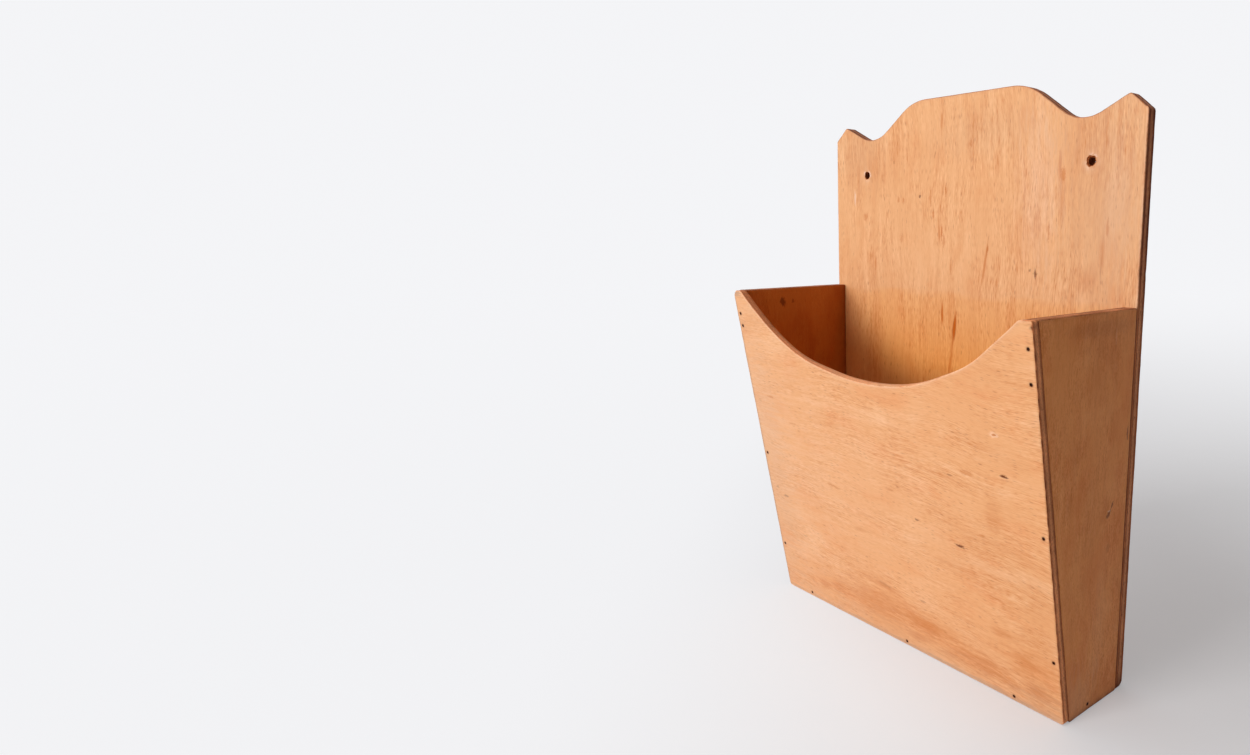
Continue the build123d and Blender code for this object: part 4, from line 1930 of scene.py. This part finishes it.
@dataclass
class FrontBoard(Board):
    """The front: a thinner sheet that leans out, level at its foot and lands, with the scoop."""

    seed: int = 7
    grain: Grain = Grain.ALONG
    land: float = 9.0
    scoop_depth: float = 52.5
    lip_radius: float = 3.0
    strays: tuple[Triple, ...] = (
        (-70.0, 28.0, -2.7),
        (-97.0, 22.0, -0.9),
        (-20.0, 18.0, -0.4),
        (66.0, 15.0, 0.9),
        (108.0, 12.0, 1.5),
    )
    undercut: Triple = (-82.0, 34.0, 0.20)
    level_height: float = 150.0
    patch_length: float = 24.0
    foot_rub: Trace = Trace(0.45, 1.5)
    joint_dirt: Trace = Trace(0.90, 0.45)
    left_dirt: Trace = Trace(0.40, 0.6)
    tip_dirt: Trace = Trace(0.85, 1.0)
    foot_darkening: Trace = Trace(0.16, 0.9)
    # Painted shade in the pocket's corners: the inner face darker near the sides and the bottom
    pocket_corner_shade: Trace = Trace(0.45, 5.0)
    edge_parts: tuple[float, ...] = (0.16, 0.34, 0.5, 0.66, 0.84)
    arris: Arris = Arris(
        front=0.40,
        rear=0.32,
        nicks=(
            Nick(134.5, 243.5, 1.8, 0.7),
            Nick(-134, 1, 2.5, 0.4),
            Nick(135, 3, 2.5, 0.4),
            Nick(61, 210, 2.0, 0.3),
        ),
        rounded=(Nick(-135, 247, 6.0, 5.0), Nick(135, 0, 6.0, 2.2)),
    )

    node = "front_panel"
    slot = "front_plywood"

    @property
    def placement(self) -> Placement:
        """Its a runs to the right and its b up the slope."""
        lean = self.measures.lean
        origin = (0, self.measures.front_foot_y, 0)
        return Placement(origin, (1, 0, 0), (0, -sin(lean), cos(lean)), (0, -cos(lean), -sin(lean)))

    @property
    def thickness(self) -> float:
        """From the frame."""
        return self.measures.front_thickness

    @property
    def spans(self) -> tuple[float, float, float, float]:
        """Across the whole width, and up the slope to the lands."""
        return -self.measures.half_width, self.measures.half_width, 0.0, self.measures.slope_height

    @property
    def bores(self) -> tuple[Bore, ...]:
        """Nails down both edges and along the foot."""
        size = self.measures
        edges = [point for hand in Hand for point in NAILS.front_edge(size, hand)]
        return tuple(NAILS.socket(*point) for point in edges + NAILS.front_foot(size))

    def top(self, x: Array) -> Array:
        """Height of the top up the slope at x: the lands, and between them one arc whose sagitta is
        the scoop's depth, met through the lips' radius. Where the saw strayed from it, the height
        has a bell shaped rise or fall."""
        half_chord = self.measures.half_width - self.land
        radius = (half_chord**2 + self.scoop_depth**2) / (2 * self.scoop_depth)
        height = self.measures.slope_height
        middle = height - self.scoop_depth + radius
        away = np.abs(x)
        arc = middle - np.sqrt(radius**2 - np.minimum(away, half_chord) ** 2)
        for place, width, rise in self.strays:
            arc = arc + rise * bell((x - place) / width)
        slope = half_chord / (middle - height)
        corners = [
            (half_chord - 12.0, height - 12.0 * slope, 0.0),
            (half_chord, height, self.lip_radius),
            (half_chord + self.land, height, 0.0),
        ]
        return np.where(away > half_chord - 1.6, broken_line(away, corners), arc)

    def lay(self, u: Array, v: Array, depth: float) -> Array:
        """Square up to level_height, and above it stretched to the top. The foot and the lands are
        cut level, so at a depth they lie lower by the depth times the lean's tangent. The scoop is
        cut square, apart from a bell shaped stretch where the saw leant in."""
        height = self.measures.slope_height
        half_chord = self.measures.half_width - self.land
        level = np.clip((np.abs(u) - half_chord + 1.2) / 1.6, 0, 1)
        share = np.clip((v - self.level_height) / (height - self.level_height), 0, 1)
        place, width, slope = self.undercut
        drop = depth * tan(self.measures.lean) * (1 - share * (1 - level))
        drop = drop + depth * slope * share * bell((u - place) / width)
        return np.stack([u, v + share * (self.top(u) - height) - drop], axis=-1)

    def landmarks(self) -> tuple[list[Array], list[Array]]:
        """Closer stations at the two lips."""
        lip = self.measures.half_width - self.land
        fan = np.array([-5.0, -2.6, -1.8, -1.2, -0.8, -0.4, 0.0, 0.4, 0.8, 1.2, 1.8])
        return [lip + fan, -lip - fan], [np.array([self.level_height])]

    def wear(self, a: Array, b: Array, depth: Array, rim: Array) -> tuple[Array, Array]:
        """Rubbed scoop and foot, the scoop's left browned, dirt in the joints with the sides, on the tip
        of the top right corner and just above the foot, and painted shade in the pocket's corners."""
        size = self.measures
        edge = rim == 0
        side_edge = (np.abs(a) > size.half_width - 1.2) & (b > 2)
        scoop = (np.abs(a) < size.half_width - self.land + 2) & (b > self.level_height)
        bright = np.clip((a + 100) / 140, 0, 1)
        browned = scoop * (1 - bright)
        patch = patches(a, b, self.patch_length, 63, 0.55, 0.45)
        uneven = 0.6 + 0.4 * patch
        near_front = np.exp(-np.maximum(rim / 0.70, depth / 0.25))
        rubbed = strongest(
            self.foot_rub.at(np.maximum(b, 0)) * uneven,
            edge * scoop * (0.03 + 0.62 * bright) * uneven,
            ~side_edge * np.where(scoop, 1.1, 0.5) * near_front * (0.75 + 0.25 * patch),
        )

        dots = np.clip(0.9 + 0.5 * ripple(np.stack([a, b], axis=-1), 6.0, 67), 0.45, 1.3)
        to_rear = self.thickness - depth
        tip = np.hypot(np.abs(a - size.half_width + 0.8), np.abs(b - size.slope_height + 3.2))
        to_side = np.maximum(size.half_width - size.side_thickness - np.abs(a), 0)
        to_bottom = np.maximum(b - size.bottom_thickness, 0)
        grime_and_shade = strongest(
            edge * side_edge * dots * self.joint_dirt.at(to_rear),
            side_edge * (a > 0) * dots * np.exp(-np.maximum(depth / 0.45, rim / 0.42)),
            side_edge * (a < 0) * self.left_dirt.at(rim),
            edge * browned * 0.42 * np.clip(depth / 0.5 - 0.6, 0, 1),
            (depth > 1) * browned * np.exp(-np.maximum(to_rear / 0.6, rim / 0.8)),
            self.tip_dirt.around(tip),
            (depth < 1) * (0.4 + 0.6 * patch) * self.foot_darkening.around(b - 2.0),
            # Painted shade in the pocket's corners
            self.towards_rear(depth) * self.pocket_corner_shade.at(np.minimum(to_side, to_bottom)),
        )
        return rubbed, grime_and_shade

    def finishes(self) -> tuple[Finish, ...]:
        """Face, inner face, cut edge and sockets."""
        # Its rubbed colour also gives the painted sheen of the broad pale marks on the front's left.
        face = Veneer(
            "front_veneer", FRONT_STROKES, rubbed=(0.93, 0.63, 0.44), ruddy_share=0.40, slant=0.05,
            pores=0.55, marks=FRONT_MARKS,
        )
        # Painted shade: the inner face is a darker, redder copy of the front's veneer, for the shade inside
        # the pocket.
        inner = Veneer(
            "front_inner_veneer", FRONT_STROKES, golden=(0.62, 0.235, 0.070), ruddy=(0.54, 0.175, 0.045),
            pale=(0.72, 0.34, 0.13), seed=900.0,
        )
        edge = CutEdge(
            "front_edge", FRONT_PLIES, rubbed=(0.95, 0.58, 0.34), glue_half=0.20, glue_strength=0.35,
            blots=0.25, seed=50.0,
        )
        return face, inner, edge, SocketStain("front_sockets")


@dataclass
class BottomBoard(Board):
    """The bottom, between the four walls, its front edge cut to the front's lean."""

    seed: int = 9
    step: float = 5.0
    grain: Grain = Grain.ALONG
    patch_length: float = 30.0
    scuffing: float = 0.35
    dust: Trace = Trace(0.5, 6.0)

    node = "bottom_panel"
    slot = "bottom_plywood"

    @property
    def placement(self) -> Placement:
        """Its outer face is the one inside the pocket."""
        return Placement((0, 0, self.measures.bottom_thickness), (1, 0, 0), (0, 1, 0), (0, 0, 1))

    @property
    def thickness(self) -> float:
        """From the frame."""
        return self.measures.bottom_thickness

    @property
    def spans(self) -> tuple[float, float, float, float]:
        """Between the sides, and from the front's inner face to the back at the top of the sheet."""
        size = self.measures
        reach = size.half_width - size.side_thickness
        return -reach, reach, float(size.inner_front_y(size.bottom_thickness)), size.back_front_y

    def lay(self, u: Array, v: Array, depth: float) -> Array:
        """Square, with the front edge further back, the deeper it is."""
        first, last = self.spans[2:]
        back = depth * tan(self.measures.lean) * (last - v) / (last - first)
        return np.stack([u, v + back], axis=-1)

    def wear(self, a: Array, b: Array, depth: Array, rim: Array) -> tuple[Array, Array]:
        """Dust and dirt in the pocket's foot, and a scuffed underside."""
        scuffs = self.scuffing * patches(a, b, self.patch_length, 74, 0.4, 0.6)
        return scuffs * (depth > self.thickness - 1), self.dust.at(rim) * (depth < 1)

    def finishes(self) -> tuple[Finish, ...]:
        """Face, underside, cut edge and sockets."""
        # Painted shade: the face is a darker, redder copy of the front's veneer, for the shade on the
        # pocket's floor.
        face = Veneer(
            "bottom_veneer", FRONT_STROKES, golden=(0.60, 0.26, 0.10), ruddy=(0.52, 0.19, 0.06),
            seed=1200.0,
        )
        under = Veneer(
            "bottom_under_veneer", FRONT_STROKES, golden=(0.60, 0.36, 0.19), ruddy=(0.50, 0.26, 0.12),
            gloss=0.6, seed=1400.0,
        )
        edge = CutEdge("bottom_edge", EDGE_PLIES, seed=70.0)
        return face, under, edge, SocketStain("bottom_sockets")


def dress_board(board: Board) -> bpy.types.Object:
    """Builds a board, gives it its finishes and puts it in the place of its CAD node.

    Args:
        board: The board.

    Returns:
        The finished piece.
    """
    piece = board.build()
    for finish in board.finishes():
        piece.data.materials.append(finish.material())
    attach(piece, "root")
    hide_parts(board.node)
    board.slot
    log.info("%s: %d faces", piece.name, len(piece.data.polygons))
    return piece


@dataclass
class NailGroup:
    """Nails of one joint: each a turned pin with a low domed head, punched in along its own axis."""

    node: str
    heads: list[Triple]
    outward: Triple
    length: float
    around: int = 20
    dome: float = 0.10
    head_edge: float = 0.12

    def profile(self) -> Array:
        """Radius and depth under the top of the head, from the head's dome to the point: the dome
        sinks with the square of the radius, and a quarter circle turns it down into the rim."""
        head, shank, thick = NAILS.head_radius, NAILS.shank_radius, NAILS.head_thickness
        bend = self.head_edge
        taper = self.length - NAILS.point_length
        dome = [(head * part, self.dome * part**2) for part in (0.3, 0.55, 0.75, 0.88)]
        rim = [(head - bend * (1 - sin(t)), self.dome + bend * (1 - cos(t))) for t in (0.5, 1.0, pi / 2)]
        under = [(head, thick - bend), (head * 0.9, thick), (shank, thick)]
        shaft = [(shank, self.length / 2), (shank, taper)]
        point = [(shank * 0.55, taper + NAILS.point_length * 0.6), (0.08, self.length - 0.05)]
        return np.array(dome + rim + under + shaft + point)

    def build(self) -> bpy.types.Object:
        """Turns each nail: a point of the profile goes round the axis at its radius, at even
        angles. The dome's top and the tip are closed by one point each."""
        axis = np.array(self.outward, float)
        across = np.cross(axis, (0.0, 0.0, 1.0))
        across /= np.linalg.norm(across)
        upward = np.cross(axis, across)
        turn = np.arange(self.around) * 2 * pi / self.around
        ways = np.cos(turn)[:, None] * across + np.sin(turn)[:, None] * upward
        profile = self.profile()
        work = Patchwork()
        for head in self.heads:
            top = np.array(head) - axis * NAILS.sink
            points = top + ways[:, None] * profile[None, :, :1] - axis * profile[None, :, 1:]
            grid = work.add_plain(points)
            work.skin(np.concatenate([grid, grid[:1]]), Layer.FACE, flip=True)
            for ring, depth, flip in ((grid[:, 0], 0.0, False), (grid[:, -1], self.length, True)):
                pole = work.add_plain((top - axis * depth)[None])
                work.cap(ring, int(pole[0]), Layer.FACE, flip=not flip)
        return work.mesh(self.node.replace("nail", "pin"))

    def dress(self, steel: bpy.types.Material) -> bpy.types.Object:
        """Builds the nails and puts them in the place of their CAD node."""
        piece = self.build()
        piece.data.materials.append(steel)
        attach(piece, "root")
        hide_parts(self.node)
        log.info("%s: %d nails", piece.name, len(self.heads))
        return piece


def nail_groups(size: Measures) -> list[NailGroup]:
    """Every group of nails, with its places in the shared frame.

    Args:
        size: The sizes of the frame.

    Returns:
        The groups.
    """
    lean = size.lean
    out = (0.0, -cos(lean), -sin(lean))

    def on_front(points: list[tuple[float, float]]) -> list[Triple]:
        """Places from (x, rise up the slope)."""
        return [(x, size.front_foot_y - rise * sin(lean), rise * cos(lean)) for x, rise in points]

    def on_back(points: list[tuple[float, float]]) -> list[Triple]:
        """Places on the rear face from (x, z)."""
        return [(x, size.wall_y, z) for x, z in points]

    side_y, side_z = NAILS.side_point(size)
    short, long = NAILS.front_length, NAILS.long_length
    back = (0.0, 1.0, 0.0)
    groups = []
    for hand in Hand:
        tag = hand.name.lower()
        side = [(hand * size.half_width, side_y, side_z)]
        groups += [
            NailGroup(f"front_{tag}_nails", on_front(NAILS.front_edge(size, hand)), out, short),
            NailGroup(f"{tag}_bottom_nail", side, (float(hand), 0.0, 0.0), long),
            NailGroup(f"back_{tag}_nails", on_back(NAILS.back_edge(size, hand)), back, long),
        ]
    return groups + [
        NailGroup("front_bottom_nails", on_front(NAILS.front_foot(size)), out, short),
        NailGroup("back_bottom_nails", on_back(NAILS.back_foot(size)), back, long),
    ]


# Studio


@dataclass(frozen=True)
class Lamp:
    """A square lamp: where it is and what it faces, in metres, its side, its power and its colour."""

    name: str
    place: Triple
    target: Triple
    size: float
    watts: float
    colour: Colour


@dataclass
class Studio:
    """A pale floor that fades into a pale surround, soft lamps, and the camera."""

    floor_radius: float = 7.0
    fade_offset: float = 0.5
    fade_start: float = 0.75
    fade_end: float = 4.0
    floor_drop: float = 0.0002
    floor_colour: Colour = (0.60, 0.612, 0.640)
    floor_worn: Colour = (0.63, 0.645, 0.670)
    floor_seen: Colour = (0.785, 0.792, 0.822)
    # The glow's share runs from the far side to the lamp's side, as painted light on the floor.
    floor_glow: tuple[float, float] = (0.12, 0.93)
    glow_reach: float = 0.28
    glow_way: Triple = (-0.70, -0.71, 0.0)
    paper_grain: float = 1 / 30
    paper_speckle: float = 0.02
    surround: Colour = (0.905, 0.908, 0.928)
    ambient: Colour = (0.62, 0.56, 0.52)
    ambient_strength: float = 0.40
    lamps: tuple[Lamp, ...] = (
        Lamp("key", (-0.55, -3.1, 0.85), (0.0, 0.0, 0.18), 1.3, 76.0, (1.0, 0.99, 0.97)),
        Lamp("overhead", (-0.3, -0.6, 2.6), (0.0, 0.0, 0.0), 2.0, 26.0, (1.0, 1.0, 1.0)),
    )
    frame_pixels: tuple[int, int] = (1250, 755)
    focal_pixels: float = 807.9
    axis_pixel: tuple[float, float] = (909.5, 386.7)
    eye: Triple = (0.3764, -0.3756, 0.2881)
    forward: Triple = (-0.7001, 0.6874, -0.1932)
    right: Triple = (0.7000, 0.7141, 0.0037)
    sensor: float = 36.0

    def floor(self) -> bpy.types.Object:
        """A flat disc: each point is a radius times the cosine and sine of an angle."""
        radii = np.concatenate([np.linspace(0.05, 2.0, 30), np.linspace(2.2, self.floor_radius, 12)])
        angles = np.arange(96) * 2 * pi / 96
        x, y = radii[None] * np.cos(angles)[:, None], radii[None] * np.sin(angles)[:, None]
        points = np.stack([x, y, np.full_like(x, -self.floor_drop)], axis=-1) / MM
        work = Patchwork()
        grid = work.add_plain(points)
        work.skin(np.concatenate([grid, grid[:1]]), Layer.FACE, flip=True)
        pole = work.add_plain(np.array([[0.0, 0.0, -self.floor_drop / MM]]))
        work.cap(grid[:, 0], int(pole[0]), Layer.FACE)
        disc = work.mesh("floor")
        disc.data.materials.append(self.floor_finish())
        return disc

    def floor_finish(self) -> bpy.types.Material:
        """Matt paper near the object, which turns into the surround's own colour further out, as one
        over the distance falls, and sooner on the lamp's side, as painted light brighter towards the lamp."""
        mix = Recipe(bpy.data.materials.new("floor_paper"))
        place = mix.place()
        inverse = mix.math("DIVIDE", 1.0, mix.plus(mix.measure("LENGTH", place), self.fade_offset))
        far = mix.ramp(inverse, 1 / self.fade_start, 1 / self.fade_end)
        # Painted light: the glow is stronger towards the lamp's side, so the floor is painted brighter there
        # and less so on the far side.
        toward = mix.measure("DOT_PRODUCT", place, self.glow_way)
        near = mix.ramp(toward, -self.glow_reach, self.glow_reach, *self.floor_glow)
        glowing = mix.less(1.0, mix.times(mix.less(1.0, near), mix.less(1.0, far)))
        grainy = mix.noise(place, (self.paper_grain,) * 3, 4.0)
        seen = mix.seen()
        bounced = mix.blend(grainy, self.floor_colour, self.floor_worn)
        speckled = tuple(part + self.paper_speckle for part in self.floor_seen)
        shown = mix.blend(grainy, self.floor_seen, speckled)
        paper = mix.plain("ShaderNodeBsdfDiffuse", mix.blend(seen, bounced, shown))
        glow = mix.plain("ShaderNodeEmission", self.surround)
        mix.output(mix.either(mix.times(glowing, seen), paper, glow))
        return mix.owner

    def world(self) -> None:
        """A pale surround to the eye and in reflections, and a dimmer fill on the object."""
        mix = Recipe(bpy.data.worlds.new("surround"))
        fill = mix.plain("ShaderNodeBackground", self.ambient, self.ambient_strength)
        pale = mix.plain("ShaderNodeBackground", self.surround)
        mix.output(mix.either(mix.seen(), fill, pale))
        bpy.context.scene.world = mix.owner

    def add_lamp(self, lamp: Lamp) -> None:
        """A square soft lamp that faces a point."""
        data = bpy.data.lights.new(lamp.name, "AREA")
        data.shape = "SQUARE"
        data.size = lamp.size
        data.energy = lamp.watts
        data.color = lamp.colour
        piece = bpy.data.objects.new(lamp.name, data)
        piece.location = lamp.place
        way = Vector(lamp.target) - Vector(lamp.place)
        piece.rotation_euler = way.to_track_quat("-Z", "Y").to_euler()
        bpy.context.scene.collection.objects.link(piece)

    def camera(self) -> None:
        """The photograph's viewpoint. Its axis is off the middle of the frame, so the lens shifts."""
        data = bpy.data.cameras.new("view")
        width, height = self.frame_pixels
        data.sensor_width = self.sensor
        data.lens = self.focal_pixels / width * self.sensor
        data.shift_x = (width / 2 - self.axis_pixel[0]) / width
        data.shift_y = (self.axis_pixel[1] - height / 2) / width
        data.clip_start = 0.01
        ahead = Vector(self.forward).normalized()
        right = Vector(self.right).normalized()
        up = right.cross(ahead).normalized()
        turn = Matrix((right, up, -ahead)).transposed().to_4x4()
        camera = bpy.data.objects.new("view", data)
        camera.matrix_world = Matrix.Translation(self.eye) @ turn
        bpy.context.scene.collection.objects.link(camera)
        bpy.context.scene.camera = camera

    def set_up(self) -> None:
        """Builds the floor, the surround, the lamps and the camera."""
        self.floor()
        self.world()
        for lamp in self.lamps:
            self.add_lamp(lamp)
        self.camera()
        bpy.context.scene.view_settings.view_transform = "Standard"


def main() -> None:
    """Builds the organizer piece by piece, and then the studio round it."""
    logging.basicConfig(level=logging.INFO)
    size = Measures.read()
    boards = [
        BackBoard(size),
        SideBoard(size, hand=Hand.LEFT, seed=5),
        SideBoard(size, hand=Hand.RIGHT, seed=6),
        FrontBoard(size),
        BottomBoard(size),
    ]
    for board in boards:
        dress_board(board)
    steel = NailSteel().material()
    for group in nail_groups(size):
        group.dress(steel)
    Studio().set_up()


if __name__ == "__main__":
    main()
